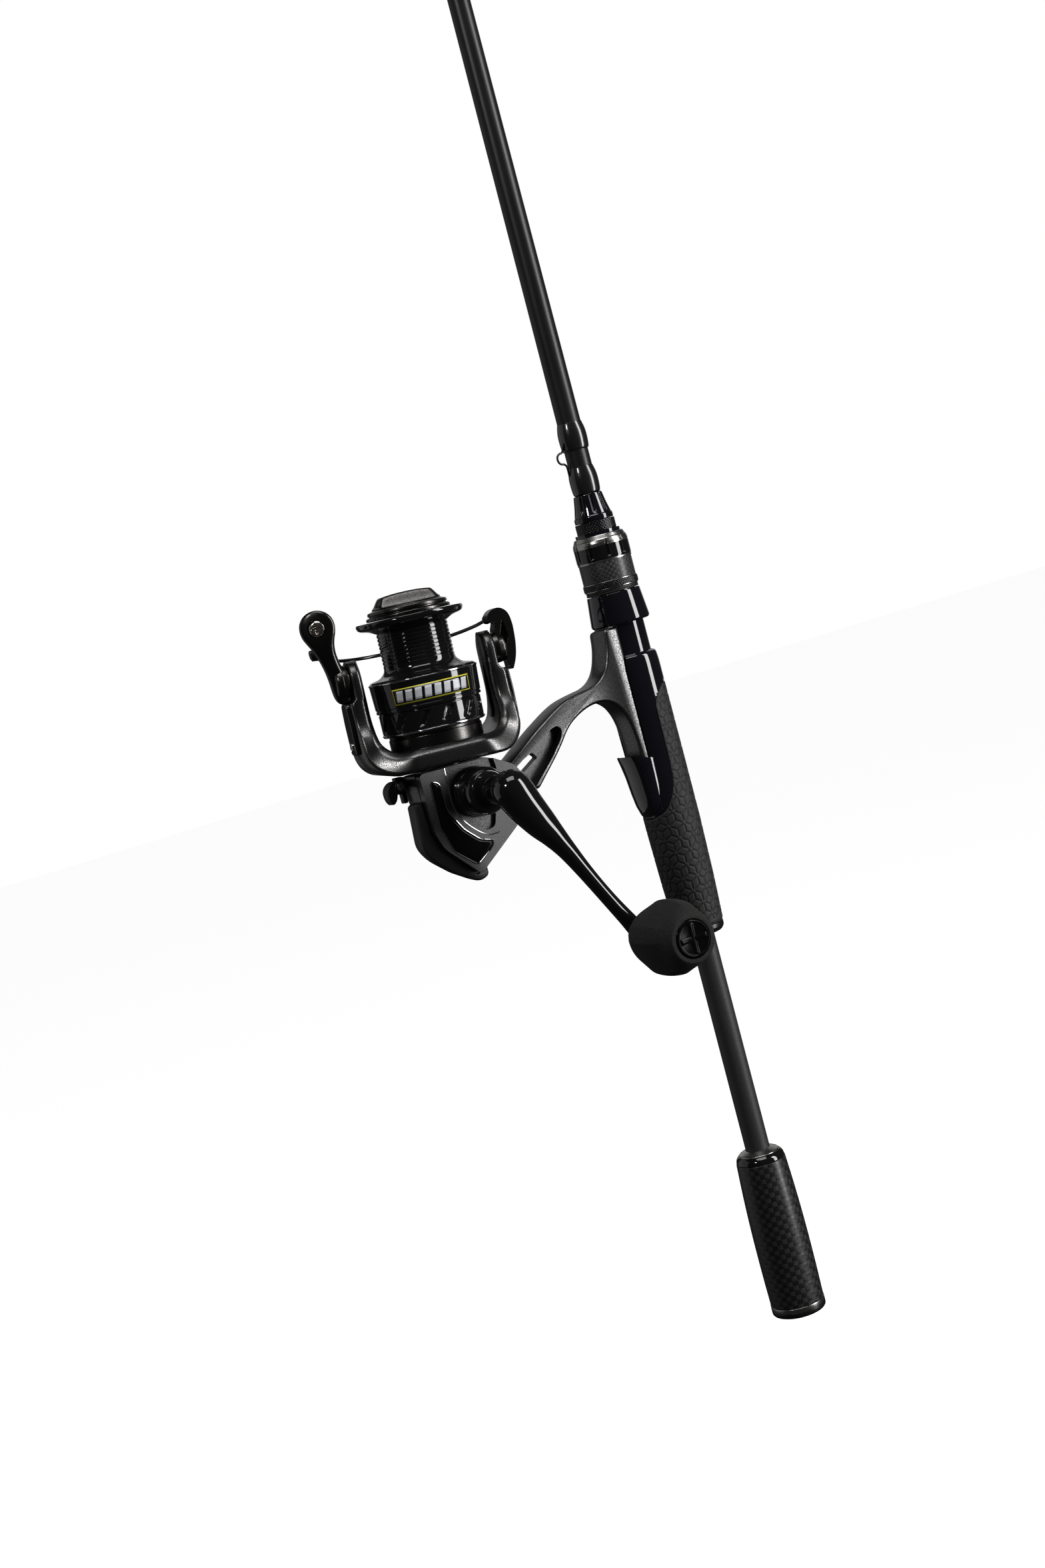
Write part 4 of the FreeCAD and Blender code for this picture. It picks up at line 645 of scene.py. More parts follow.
def make_butt():
    bore = 5.9
    cap = soften([(0, 0), (12.95, 0, 1.8), (12.95, 2.9, 0.25), (5.9, 2.9), (5.9, 1.4), (0, 1.4)],
                 loop=False)
    piece("butt_cap", "rod", "satin_black", lathe(cap), ROD)
    piece("butt_ring", "rod", "silver", lathe(ring_profile(bore, 12.95, 2.9, 5.0, 0.25),
            loop=True), ROD)
    grip = [(bore, 5.0), (12.75, 5.0, 0.3), (13.02, 20), (13.02, 40), (12.6, 58), (11.75, 75.3, 0.4),
            (bore, 75.3)]
    grip = divided(soften(grip, 10, steps=6), 4, True)
    piece("butt_grip", "rod", "carbon_cloth", lathe(grip, loop=True), ROD, sharp=50)
    collar = soften([(bore, 75.3), (11.6, 75.3, 0.5), (11.25, 77.4, 1.2), (9.75, 79.0, 0.5), (bore, 79.0)],
                    steps=6)
    piece("butt_collar", "rod", "gloss_black", lathe(collar, loop=True), ROD,
          ["butt_grip_collar"])
    check = soften([(bore, 79.0), (9.6, 79.0, 0.2), (9.4, 79.35, 0.2), (6.3, 80.95, 0.2), (bore, 81.0)])
    piece("butt_check", "rod", "silver", lathe(check, loop=True), ROD, ["butt_winding_check"])


GRIP_FOOT, GRIP_TOP = 190.8, 306
SEAT_RADIUS = 12.8
GRIP_EDGE = [(-12.95, 245), (-6.5, 250), (-1.2, 264), (-1, 294), (5, 303), (13.95, 306)]


def seat_edge(x):
    """Height of the slanted edge between the rubber and the gloss seat."""
    line = smooth_path([(px, 0, pz) for px, pz in GRIP_EDGE], 10)
    for low, high in zip(line, line[1:]):
        if low.x <= x <= high.x and high.x > low.x:
            return low.z + (high.z - low.z) * (x - low.x) / (high.x - low.x)
    return GRIP_EDGE[0][1] if x < line[0].x else GRIP_EDGE[-1][1]


def grip_radius(height):
    spots = [(GRIP_FOOT, 11.4), (212, 12.3), (240, 12.9), (270, 12.9), (GRIP_TOP, SEAT_RADIUS)]
    for (low, narrow), (high, wide) in zip(spots, spots[1:]):
        if height <= high:
            return narrow + (wide - narrow) * (height - low) / (high - low)
    return spots[-1][1]


def cube_lines(across, up, cell=7.31):
    """Nearness, from 0 to 1, to the grooves of a pattern of tumbling cubes."""
    rise = cell * math.sqrt(3)
    best = 0.0
    for shift in (0, 1):
        u = (across + shift * cell / 2) % cell - cell / 2
        v = (up + shift * rise / 2) % rise - rise / 2
        reach = math.hypot(u, v)
        angle = (math.degrees(math.atan2(v, u)) + 30) % 60
        off = min(angle, 60 - angle)
        beside = reach * math.sin(math.radians(off))
        along = reach * math.cos(math.radians(off))
        if 0.8 < along < cell * 0.577:
            best = max(best, 1 - level(0.16, 0.5, beside))
    return best


def make_rear_grip():
    bore, steps = 5.75, 260
    rows = int((GRIP_TOP - GRIP_FOOT) / 0.42)
    heights = [GRIP_FOOT + (GRIP_TOP - GRIP_FOOT) * row / rows for row in range(rows + 1)]
    spots, faces, groove_shade = [], [], []
    for height in heights:
        reach = grip_radius(height)
        end = 1 - level(GRIP_FOOT, GRIP_FOOT + 1.6, height)
        for angle in angles(steps):
            limit = seat_edge(reach * math.cos(angle))
            line = cube_lines(angle * SEAT_RADIUS, height)
            line *= level(0.6, 1.8, limit - height) * level(192.5, 194, height)
            radius = reach - 0.34 * line - 0.5 * end - 0.5 * (1 - level(0, 0.7, limit - height))
            top = min(height, limit)
            spots.append((radius * math.cos(angle), radius * math.sin(angle), top))
            # the groove nearness is also kept as a mesh attribute that the rubber uses for painted groove
            # shade
            groove_shade.append(line)
    for row in range(rows):
        for step in range(steps):
            after = (step + 1) % steps
            corners = [row * steps + step, row * steps + after, (row + 1) * steps + after,
                       (row + 1) * steps + step]
            tops = [spots[corner][2] for corner in corners]
            if max(tops) - min(tops) > 1e-4:
                faces.append(corners)
    bottom = len(spots)
    spots += circle(bore, GRIP_FOOT, steps)
    groove_shade += [0.0] * steps
    for step in range(steps):
        after = (step + 1) % steps
        faces.append([step, bottom + step, bottom + after, after])
    mesh = bpy.data.meshes.new("rear_grip")
    mesh.from_pydata([ROD @ Vector(spot) for spot in spots], [], faces)
    mesh.attributes.new("groove_shade", "FLOAT", "POINT").data.foreach_set("value", groove_shade)
    work = bmesh.new()
    work.from_mesh(mesh)
    bmesh.ops.delete(work, geom=[vert for vert in work.verts if not vert.link_faces], context="VERTS")
    bmesh.ops.recalc_face_normals(work, faces=work.faces)
    work.to_mesh(mesh)
    work.free()
    grip = bpy.data.objects.new("rear_grip", mesh)
    SCENE.collection.objects.link(grip)
    mesh.materials.append(FINISHES["grip_rubber"].material)
    mesh.polygons.foreach_set("use_smooth", [True] * len(mesh.polygons))
    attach(grip, "rod")
    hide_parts("rear_grip")
    cap = soften([(5.8, 186.8), (9.8, 186.8, 0.8), (11.2, 188.6, 0.8), (11.2, 190.9, 0.2), (5.8, 190.9)])
    piece("rear_grip_cap", "rod", "satin_black", lathe(cap, loop=True), ROD,
          ["rear_grip_end_cap"])


# ---- rod: reel seat, hoods and nut

def make_seat():
    bore = 5.75
    steps = 200
    rows = []
    profile = [*[(SEAT_RADIUS, height) for height in (246, 270, 300)], (SEAT_RADIUS, 316, 3),
               (12.35, 320.2, 1.0), (10.4, 321, 0.3), (10.4, 378.8)]
    profile = divided(soften(profile, 0, loop=False), 1.2)
    for radius, height in profile:
        ring = []
        for angle in angles(steps):
            limit = seat_edge(SEAT_RADIUS * math.cos(angle))
            reach = radius if height >= limit else SEAT_RADIUS - 0.6
            top = max(height, limit) if height < GRIP_TOP else height
            ring.append((reach * math.cos(angle), reach * math.sin(angle), top))
        rows.append(ring)
    inner = [circle(bore, height, steps) for height in (378.8, 246)]
    foot_pocket = prism([(-13.6, -9.4), (-7.58, -9.4), (-7.58, 9.4), (-13.6, 9.4)], 268, 344.5, "XY")
    piece("reel_seat", "rod", "seat_gloss", loft(rows + inner, loop=True), ROD, sharp=40,
          cutters=[(foot_pocket, ROD)])
    rings = []
    for height, reach, width, round_off in (
        (245.2, 12.2, 4.6, 2.2), (247.5, 13.5, 7.2, 2.4), (252, 14.4, 8.9, 2.5), (258, 15.0, 9.7, 2.6),
        (266, 15.7, 10.3, 2.6), (272, 16.7, 10.8, 2.6), (275.4, 17.5, 11.0, 2.6), (276.2, 17.4, 10.9, 2.6),
    ):
        ring = []
        for angle in angles(48):
            c, s = math.cos(angle), math.sin(angle)
            x = -(8.0 + (reach - 8.0) * squared(c, round_off)) if c > 0 else -8.0 + 1.2 * abs(c)
            y = width * squared(s, round_off)
            tilt = 2.8 * (1 - level(7.0, 17.0, -x)) if height > 272 else 0
            ring.append((x, y, height - tilt))
        rings.append(ring)
    heel = prism(soften([(-13.6, -9.3), (-6.0, -9.3), (-6.0, 9.3), (-13.6, 9.3)], 1.2), 268, 290, "XY")
    round_mouth = lathe([(0, 262), (9.3, 270), (10.0, 274), (10.4, 290), (0, 290)], 64)
    spots, faces = round_mouth
    mouth = ([(spot[0] * 0.62 - 8.2, spot[1], spot[2]) for spot in spots], faces)
    piece("fixed_hood", "rod", "seat_gloss", loft(rings), ROD, ["reel_seat"], edge=0.35,
          sharp=50, cutters=[(mouth, ROD), (heel, ROD)])


NUT_BORE = 10.45


def knurl(low, high, pitch, depth, base):
    """Crossed grooves round a ring, as a change of its radius."""
    def swell(angle, radius, height):
        if radius < base - 0.4 or not low < height < high:
            return radius
        a, b = angle * base / pitch, (height - low) / pitch
        one, two = (a + b) % 1, (a - b) % 1
        return radius - depth * max(1 - abs(one - 0.5) * 6, 1 - abs(two - 0.5) * 6, 0)
    return swell


def make_moving_hood():
    hood = soften([(NUT_BORE, 335.6), (13.0, 335.6, 0.4), (13.75, 336.5, 0.6), (13.6, 338.2, 0.4),
                   (12.4, 350.2, 0.3), (NUT_BORE, 350.2)])
    tongue = prism([(-11.95, -6.7), (-7.5, -6.7), (-7.5, 6.7), (-11.95, 6.7)], 335, 344.5, "XY")
    shape = lathe(divided(hood, 1.5, True), loop=True)
    piece("moving_hood", "hood", "seat_gloss", shape, ROD, cutters=[(tongue, ROD)])
    washer = soften([(NUT_BORE, 350.5), (12.2, 350.5, 0.3), (12.2, 351.2, 0.15), (11.9, 351.3, 0.1),
                     (12.15, 351.45, 0.1), (12.15, 352.4, 0.3), (NUT_BORE, 352.4)])
    piece("nut_washer", "seat_nut", "matte_plastic", lathe(washer, loop=True), ROD)


def make_nut_rings():
    ring = soften([(NUT_BORE, 352.4), (12.45, 352.4, 0.1), (12.45, 352.75, 0.1), (12.8, 353.0, 0.1),
                   (12.8, 355.5, 0.1), (12.45, 355.7, 0.1), (12.45, 356.0, 0.1), (NUT_BORE, 356.0)])
    piece("nut_knurled_ring", "seat_nut", "black_anodised",
          lathe(divided(ring, 0.16, True), 480, True, knurl(352.95, 355.55, 1.25, 0.22, 12.8)), ROD,
          sharp=60)
    for name, low, high, reach in (("nut_lower_line", 352.42, 352.85, 12.62),
            ("nut_upper_line", 355.62, 356.05, 12.62),
                                   ("sleeve_line", 365.0, 366.4, 12.62)):
        line = ring_profile(12.2, reach, low, high, 0.12)
        piece(name, "seat_nut", "silver", lathe(line, loop=True), ROD)
    sleeve = ring_profile(NUT_BORE, 12.35, 356.0, 365.2, 0.2)
    piece("nut_sleeve", "seat_nut", "carbon_sleeve", lathe(sleeve, loop=True), ROD)


def make_locking_nut():
    def flutes(angle, radius, height):
        turn = (angle / (2 * math.pi) * 10 + 0.5) % 1 - 0.5
        half = 0.1 * (1 - level(372.2, 375.6, height))
        if half < 0.004 or height < 366.6:
            return radius
        inside = 1 - level(half * 0.45, half, abs(turn))
        return radius - 1.0 * inside * level(366.6, 367.4, height)

    lower = divided(soften([(NUT_BORE, 365.4), (12.5, 365.4, 0.3), (12.78, 366.4, 0.4), (12.78, 372.5)],
                           loop=False), 0.35)
    lower = lower + [(12.3, 372.5), (NUT_BORE, 372.5)]
    piece("locking_nut", "seat_nut", "gloss_black", lathe(lower, 400, True, flutes), ROD,
          sharp=50)
    upper = [(NUT_BORE, 372.3), (12.8, 372.3), (12.8, 373.6, 0.3), (12.45, 375.0, 0.4), (12.2, 375.3, 0.1),
             (11.35, 377.2, 0.3), (NUT_BORE, 377.2)]
    upper = divided(soften(upper), 0.35, True)
    piece("nut_bevel", "seat_nut", "silver", lathe(upper, 400, True, flutes), ROD,
          ["locking_nut"], sharp=50)


def make_checks():
    base = soften([(5.7, 378.8), (9.2, 378.8, 0.15), (9.2, 383.6, 0.15), (5.7, 383.8)])
    piece("knurled_check", "rod", "black_anodised",
          lathe(divided(base, 0.22, True), 400, True, knurl(379.1, 383.4, 1.5, 0.22, 9.2)), ROD, sharp=60)

    def cone_flutes(angle, radius, height):
        turn = (angle / (2 * math.pi) * 9 + 0.3) % 1 - 0.5
        along = level(386.8, 388.2, height) * (1 - level(394.4, 396.4, height))
        return radius - 0.55 * along * (1 - level(0.06, 0.17, abs(turn)))

    cone = [(5.7, 383.8), (9.0, 383.8, 0.3), (9.0, 386.1, 0.5), (8.6, 386.5, 0.3), (7.5, 391),
            (6.75, 395.5), (6.6, 396.3, 0.3), (5.7, 396.3)]
    piece("winding_check", "rod", "seat_gloss",
          lathe(divided(soften(cone, 2.0), 0.3, True), 320, True, cone_flutes), ROD, sharp=50)


def make_wraps():
    for name, low in (("lower_wrap", 396.3), ("upper_wrap", 416.7)):
        radius = blank_radius(low)
        crown = [(radius, low, 0), (radius + 0.75, low + 0.5), (radius + 1.1, low + 4),
                 (radius + 1.1, low + 8.5), (radius + 0.25, low + 12.4), (radius, low + 13)]
        shape = lathe(divided(soften(crown, 2.4, steps=6), 0.8, True), 96, True)
        piece(name, "rod", "varnished_thread", shape, ROD, ["thread_wraps"])
    for number, (low, foot) in enumerate(guide_wraps()):
        radius = blank_radius(low)
        crown = [(radius - 0.1, low), (radius + 0.8, low + 0.5), (radius + 1.75, low + 4),
                 (radius + 1.75, low + foot - 1.2), (radius - 0.1, low + foot)]
        piece(f"guide_wrap_{number + 1}", "rod", "varnished_thread",
              lathe(soften(crown, 1.0), 48, True), ROD, ["thread_wraps"])
    surface = blank_radius(410) + 0.45
    loop = smooth_path([
        (-surface - 0.5, 0.4, 406), (-surface - 0.6, 0.2, 409.6), (-surface - 1.0, 0, 411.0),
        (-surface - 2.0, 0, 411.9),
        (-surface - 3.3, 0, 412.2), (-surface - 4.3, 0, 413.2), (-surface - 4.6, 0, 414.6),
        (-surface - 4.2, 0, 416.0),
        (-surface - 3.0, 0, 416.9), (-surface - 1.8, 0, 417.1), (-surface - 1.0, -0.2, 418.0),
        (-surface - 0.7, -1.2, 419.4), (-surface - 0.4, -1.6, 421),
    ])
    piece("hook_keeper", "rod", "wire_gloss", tube(loop, 0.5), ROD)


def guide_wraps():
    """Start and length of each thread wrap over a guide's foot."""
    for below, ring, height, feet in ((56, 12.5, 30, 2), (40, 8, 20, 2), (29.5, 6, 14.5, 2),
            (21, 4.2, 10.5, 1), (14, 4, 9, 1),
                                      (8.5, 4, 8.2, 1), (4, 4, 7.6, 1)):
        middle, spread = ROD_LENGTH - below * 25.4, (height - ring) * 0.8 + 3
        yield middle - spread - 15, 11.8
        if feet == 2:
            yield middle + spread + 3.2, 11.8


# ---- reel: housing, stem and covers

CASE = [(-20, 13.5), (-18.7, -13), (-15.5, -21), (-0.7, -35.5), (22, -18.7), (33, -6), (27, 7), (15, 13.5)]
INSET = [(-15.4, 9.2), (-11.3, 7.6), (-10.1, -5.3), (-4.5, -14.5), (2.2, -20.6), (8.8, -22.6),
         (6.4, -25.6), (-1.6, -31), (-11.2, -23), (-15.4, -11)]


def in_reel(points):
    """Rod-frame points of the reel's side view, taken into the reel's own frame."""
    back = REEL.inverted() @ ROD
    made = []
    for x, z, *rest in points:
        spot = back @ Vector((x, 0, z))
        made.append((spot.x, spot.z, *rest))
    return made


def make_case():
    def layer(depth, inset):
        insets = [inset * (0.2 if up > 10 else 1.0) for _, up in CASE]
        return at_depth(pulled_in(CASE, insets, 2.0), depth)

    shape = loft([layer(*pair) for pair in ((-11.4, 0.0), (-4, 0.4), (1, 1.6), (6, 4.2), (10, 6.6),
            (12.4, 8.4), (13, 9.2))])
    hollow = prism(soften([(x * 0.82, z * 0.86 - 1.2) for x, z in CASE], 1.5), -12, 3)
    shaft_way = lathe([(0, -5), (5.6, -5), (5.6, 40), (0, 40)], 48)
    piece("gear_case", "rod", "gunmetal_cover", shape, REEL, ["gear_housing"], edge=0.9,
          cutters=[(hollow, REEL), (shaft_way, REEL)])
    neck = lathe(soften([(5.65, 12.6), (10.4, 12.6), (10.4, 18.3, 0.4), (5.65, 18.3)]), 64, True)
    piece("case_neck", "rod", "gunmetal_smooth", neck, REEL)


def make_stem():
    side = in_reel([
        (-66.6, 275.6, 1), (-51.4, 289.6, 8), (-44.5, 298.0, 9), (-36.5, 302.4, 9), (-29.5, 304.4, 8),
        (-22.4, 303.9, 7), (-17.4, 300.4, 6), (-14.2, 294.6, 7), (-12.6, 285.6, 6),
        (-12.2, 276.2, 1), (-12.2, 268.5, 1), (-7.6, 268.5), (-7.6, 335.2), (-14.6, 335.2, 1),
        (-15.6, 326.5, 9), (-19.0, 317.4, 8), (-25.5, 312.2, 8),
        (-35.5, 311.2, 9), (-45.4, 309.2, 9), (-61, 300.8, 6), (-77.2, 290.6, 2), (-86, 287, 1),
        (-84, 276, 1),
    ])
    layers = ((-8.8, 1.3), (-8.55, 0.75), (-8.1, 0.25), (-7.4, 0.0), (2.0, 0.0), (5.4, 0.5), (7.4, 1.3),
              (8.5, 2.4), (8.8, 3.2))
    stem = loft([at_depth(pulled_in(side, inset, steps=6), depth) for depth, inset in layers])
    window = prism(soften(in_reel([(-76.6, 286.6), (-72.6, 282.9), (-61.8, 288.9), (-64.2, 291.6)]), 0.7),
                   -12, 12)
    hollow_top = in_reel([(-77.2, 286.9, 0.6), (-61.6, 295.3, 3), (-54.2, 299.4, 2.4), (-50.6, 300.2, 2.0),
                          (-48.6, 298.0, 1.6), (-49.8, 294.4, 3), (-56.9, 287.0, 3), (-63.0, 281.7, 3),
                          (-69.8, 276.0, 1)])
    recess, far_recess = [
        loft([at_depth(pulled_in(hollow_top, inset), depth) for depth, inset in levels])
        for levels in (((-12.0, -0.6), (-8.8, 0.0), (-7.6, 0.15), (-4.4, 1.0)),
                       ((0.4, 1.0), (8.8, 0.0), (12.0, 0.0)))
    ]
    far_side = REEL @ Matrix.Translation((2.6, 0, 0))
    piece("stem", "rod", "gunmetal_cover", stem, REEL, ["gear_housing"], sharp=38,
          cutters=[(recess, REEL), (far_recess, far_side), (window, REEL)])
    tongue = prism([(-11.3, -6.2), (-7.6, -6.2), (-7.6, 6.2), (-11.3, 6.2)], 333, 343, "XY")
    piece("foot_tongue", "rod", "gunmetal", tongue, ROD, edge=0.5)
    seam = in_reel([(-79.6, 291.0), (-78.2, 287.8), (-78.8, 285.8)])
    piece("stem_seam", "rod", "satin_black", tube(at_depth(soften(seam, 0.8, loop=False),
            -8.9), 0.22, 8), REEL)


def make_side_cover():
    face = [(x + along * 0.2, z + up * 0.2) for (x, z), (along, up) in
            zip(CASE, ((1, -1), (1, 0.1), (1, 0.6), (0, 1.25), (-1, 0.6), (-1.2, 0), (-1, -0.5),
                       (-0.6, -1)))]
    cover = prism(soften(face, 2.4), -16, -11.7)
    inset = prism(soften(INSET, 1.6), -18, -15.0)
    boss_recess = soften([(-6.6, 15.2), (-6.6, -5.2, 4), (-2.4, -11.6, 3), (5.8, -17.8, 2.4),
                          (10.6, -16.8, 2.2), (12.8, -8.6, 4), (18, 4, 6), (16, 15.2)], 3)
    boss_well = prism(boss_recess, -18, -14.2)
    bore = lathe([(0, -30), (6.6, -30), (6.6, 30), (0, 30)], 48)
    piece("side_cover", "rod", "gunmetal_cover", cover, REEL, edge=0.6,
          cutters=[(inset, REEL), (boss_well, REEL), (bore, CRANK)])
    panel = soften(INSET, 1.6)
    layers = ((0.05, -15.0), (0.25, -15.9), (0.7, -16.25), (1.4, -16.35))
    rings = [at_depth(pulled_in(INSET, inset, 1.4), depth) for inset, depth in layers]
    piece("side_inset_panel", "rod", "deep_black", loft(rings), REEL, sharp=60)
    piece("inset_trim", "rod", "trim_chrome", tube(at_depth(panel + panel[:2], -16.0), 0.34, 10),
          REEL)
    groove = soften([(-7.4, 13.2), (-7.5, -4.2, 5), (-3.6, -11.6, 4), (2.6, -17.6, 4), (7.4, -20.0, 2),
                     (12.0, -19.6)], 3, loop=False, steps=8)
    piece("groove_trim", "rod", "trim_chrome", tube(at_depth(groove, -15.95), 0.3, 10), REEL)


def make_rear_cover():
    outer = [(5, -37.2, 2), (-0.5, -39.1, 4), (-11.3, -32.6, 2), (-19.3, -26, 4), (-23.6, -19, 3),
             (-23.0, 1.0, 0.8), (-19.6, 1.0), (-18.7, -13.2), (-15.5, -21.3), (-0.7, -35.8), (4.2, -32.2)]
    rings = [at_depth(pulled_in(outer, [inset if here < 6 else 0 for here in range(len(outer))], steps=6),
                      depth)
             for depth, inset in ((-12, 0.9), (-11.6, 0.3), (-10.8, 0.0), (-6, 0.4), (-1, 1.4))]
    piece("rear_cover", "rod", "matte_plastic", loft(rings), REEL, sharp=40)


def make_far_side():
    screw = screw_head(1.6, 0.5)
    for x, z in ((-6.5, 4.5), (18.5, 0), (-1, -21)):
        place = REEL @ Matrix.Translation((x, 13.0, z)) @ Matrix.Rotation(math.radians(-90), 4, "X")
        piece(f"case_screw_{x:g}".replace("-", "m"), "rod", "nickel", screw, place,
              ["housing_screws"], sharp=30)
    far = soften([(0, 12.8), (9, 12.8), (9, 16, 0.8), (7.6, 17.5, 0.8), (0, 17.8)], loop=False)
    piece("far_side_cap", "rod", "gloss_black", lathe([(r, -z) for r, z in far], 64), CRANK)


def make_crank_boss():
    boss = [(3.6, 13.9), (11.2, 13.9, 0.3), (11.2, 16.6, 0.4), (10.6, 17.0, 0.1), (10.6, 17.5, 0.1),
            (11.1, 17.9, 0.3), (11.0, 19.2, 0.3), (10.5, 19.5, 0.1), (10.5, 19.9, 0.1),
            (10.9, 20.3, 0.4), (10.3, 26.6, 2.2), (8.6, 29.4, 0.5), (3.6, 29.5)]
    piece("crank_boss", "rod", "crank_gloss", lathe(soften(boss, steps=5), 96, True), CRANK)


def screw_head(radius, height, cross=True):
    """A domed head with a cross or a slot cut as a star of lowered vertices."""
    profile = [(radius * share, height) for share in (0, 0.15, 0.3, 0.45, 0.6)]
    profile += [(radius * share, height * up) for share, up in ((0.72, 0.98), (0.85, 0.85), (1, 0.45))]
    profile += [(radius, -0.4), (0, -0.4)]
    spots, faces = lathe(profile, 48)
    moved = []
    for x, y, z in spots:
        if z > height * 0.9:
            near = min(abs(x), abs(y)) if cross else abs(x)
            reach = max(abs(x), abs(y)) if cross else abs(y)
            if near < radius * 0.15 and reach < radius * 0.68:
                z -= height * 0.75
        moved.append((x, y, z))
    return moved, faces


def make_stop_lever():
    wing = soften([(-21.6, 11.6, 1.6), (-26.8, 12.4, 2.2), (-30.2, 9.4, 2.6), (-30.0, 4.6, 2.2),
                   (-28.2, 1.9, 1.2), (-26.2, 3.6, 1.2), (-25.0, 7.2, 1.0), (-21.8, 7.2, 1.4)], steps=6)
    piece("stop_lever", "stop", "matte_plastic", prism(wing, -3, 3), REEL, edge=0.9)
    place = REEL @ Matrix.Translation((-23.6, -3.0, 9.6)) @ Matrix.Rotation(math.radians(90), 4, "X")
    rim = soften([(0, 0), (2.7, 0), (2.7, 0.9, 0.3), (2.2, 1.1, 0.1), (2.0, 0.75, 0.1), (0, 0.7)],
                 loop=False)
    piece("stop_screw_rim", "rod", "matte_plastic", lathe(rim, 48), place)
    piece("stop_screw", "rod", "nickel", screw_head(1.9, 0.6, False),
          place @ Matrix.Translation((0, 0, 0.75)), ["stop_lever_screw"], sharp=30)
    tab = prism(soften([(-22.4, 13), (-18.6, 13), (-18.6, 1.2), (-20.4, 1.2, 0.5), (-20.6, 5.6),
                        (-22.4, 5.6, 0.5)], 0.3), 3.4, 7.0)
    piece("stop_mount", "rod", "matte_plastic", tab, REEL, edge=0.4)


# ---- reel: rotor and bail

ARM_HALF_DEPTH = 8.4


def rotor_depth(across, height):
    """Half of the rotor's depth at a place on its band."""
    plan = 24.5
    reach = abs(across)
    if reach > 12:
        plan = 24.5 - 15.5 * ((reach - 12) / 23.6) ** 1.9
    if height > BAIL_HEIGHT:
        return max(0.4, math.sqrt(max(0.2, ARM_HALF_DEPTH**2 - (height - BAIL_HEIGHT) ** 2)))
    slope = ARM_HALF_DEPTH + 16.1 * (1 - level(16, 44, height)) ** 1.25
    return max(ARM_HALF_DEPTH if height > 30 else 9.0, min(plan, slope))


def make_rotor():
    inner_x, outer_x, low, floor = 27.8, 35.6, 14.5, 23.8
    half = []
    for step in range(27):
        height = 66.95 - step * (66.95 - 33.5) / 26
        outer = 32.9 if height > 51 else 32.9 + (outer_x - 32.9) * (1 - level(48.5, 51, height))
        half.append((Vector((-inner_x, height)), Vector((-outer, height))))
    for step in range(1, 13):
        angle = math.pi / 2 * step / 12
        centre = Vector((-18.8, 33.0))
        half.append((Vector((centre.x - 9.0 * math.cos(angle), centre.y - 9.2 * math.sin(angle))),
                     Vector((-23.0 - 12.6 * math.cos(angle), 27.4 - 12.9 * math.sin(angle)))))
    for step in range(1, 13):
        share = step / 12
        half.append((Vector((-18.8 * (1 - share), floor)), Vector((-23.0 * (1 - share), low))))
    stations = half + [(Vector((-inside.x, inside.y)), Vector((-outside.x, outside.y))) for inside,
                       outside in half[-2::-1]]
    rings = []
    for inside, outside in stations:
        middle = (inside + outside) / 2
        deep = rotor_depth(middle.x, middle.y)
        across = outside - inside
        ring = []
        for side in (-1, 1):
            rim = [(0.0, -3.1), (0.04, -2.2), (0.22, -0.55), (0.30, -0.12), (0.40, 0.0), (0.80, 0.0),
                   (0.87, -0.12), (0.95, -0.65), (1.0, -1.5)]
            rim = rim if side < 0 else rim[::-1]
            for share, drop in rim:
                spot = inside + across * share
                give = min(1, deep / 6)
                ring.append((spot.x, side * (deep + drop * give), spot.y))
        rings.append(ring)
    cutters = []
    hub = lathe([(0, 10), (11.6, 10), (11.6, 19.2), (5.1, 19.3), (5.1, 30), (0, 30)], 64)
    cutters.append((hub, ROTOR))
    for side in (-1, 1):
        slot = soften([(-2.6, 27), (2.6, 27), (3.4, 44), (0, 54), (-3.4, 44)], 3, steps=6)
        low_x, high_x = (27.0, 29.2) if side > 0 else (-29.2, -27.0)
        cutters.append((prism(slot, low_x, high_x, "YZ"), ROTOR))
    piece("rotor", "rotor", "gunmetal", loft(rings), ROTOR, edge=0.35, sharp=40,
          cutters=cutters)


def make_rotor_drum():
    drum = soften([(18.9, 21.6), (20.7, 21.6), (20.7, 29.0, 0.3), (20.3, 29.3, 0.1), (20.3, 49, 0.3),
                   (18.9, 49)])
    piece("rotor_drum", "rotor", "gunmetal_smooth", lathe(drum, 128, True), ROTOR, ["rotor"])
    nut = [(7.5 * math.cos(math.pi * step / 3), 7.5 * math.sin(math.pi * step / 3)) for step in range(6)]
    hole = lathe([(0, 10), (5.05, 10), (5.05, 70), (0, 70)], 32)
    piece("rotor_nut", "rotor", "dark_steel", prism(nut, 23.8, 28.8, "XY"), ROTOR, edge=0.4,
          cutters=[(hole, ROTOR)])


def make_arm_covers():
    for side in (-1, 1):
        outline = soften([(-5.8, 26.4), (5.8, 26.4), (6.6, 40), (5.2, 49.4), (-5.2, 49.4), (-6.6, 40)],
                         2.4, steps=6)
        face = sorted((side * 35.3, side * 37.5))
        piece("arm_cover_left" if side < 0 else "arm_cover_right", "rotor", "gloss_black",
              prism(outline, *face, "YZ"), ROTOR, ["arm_covers"], edge=0.8)
    spot = ROTOR @ Matrix.Translation((-37.5, 0, 30.2)) @ Matrix.Rotation(math.radians(-90), 4, "Y")
    piece("arm_cover_screw", "rotor", "nickel", screw_head(2.0, 0.8), spot, sharp=30)


ROLLER_BACK = -6.8


def bail_pin(name, turned):
    pin = soften([(0, 27.9), (2, 27.9, 0.3), (2, 34), (0, 34)], loop=False)
    piece(name, "bail", "dark_steel", lathe(pin, 32), turned)


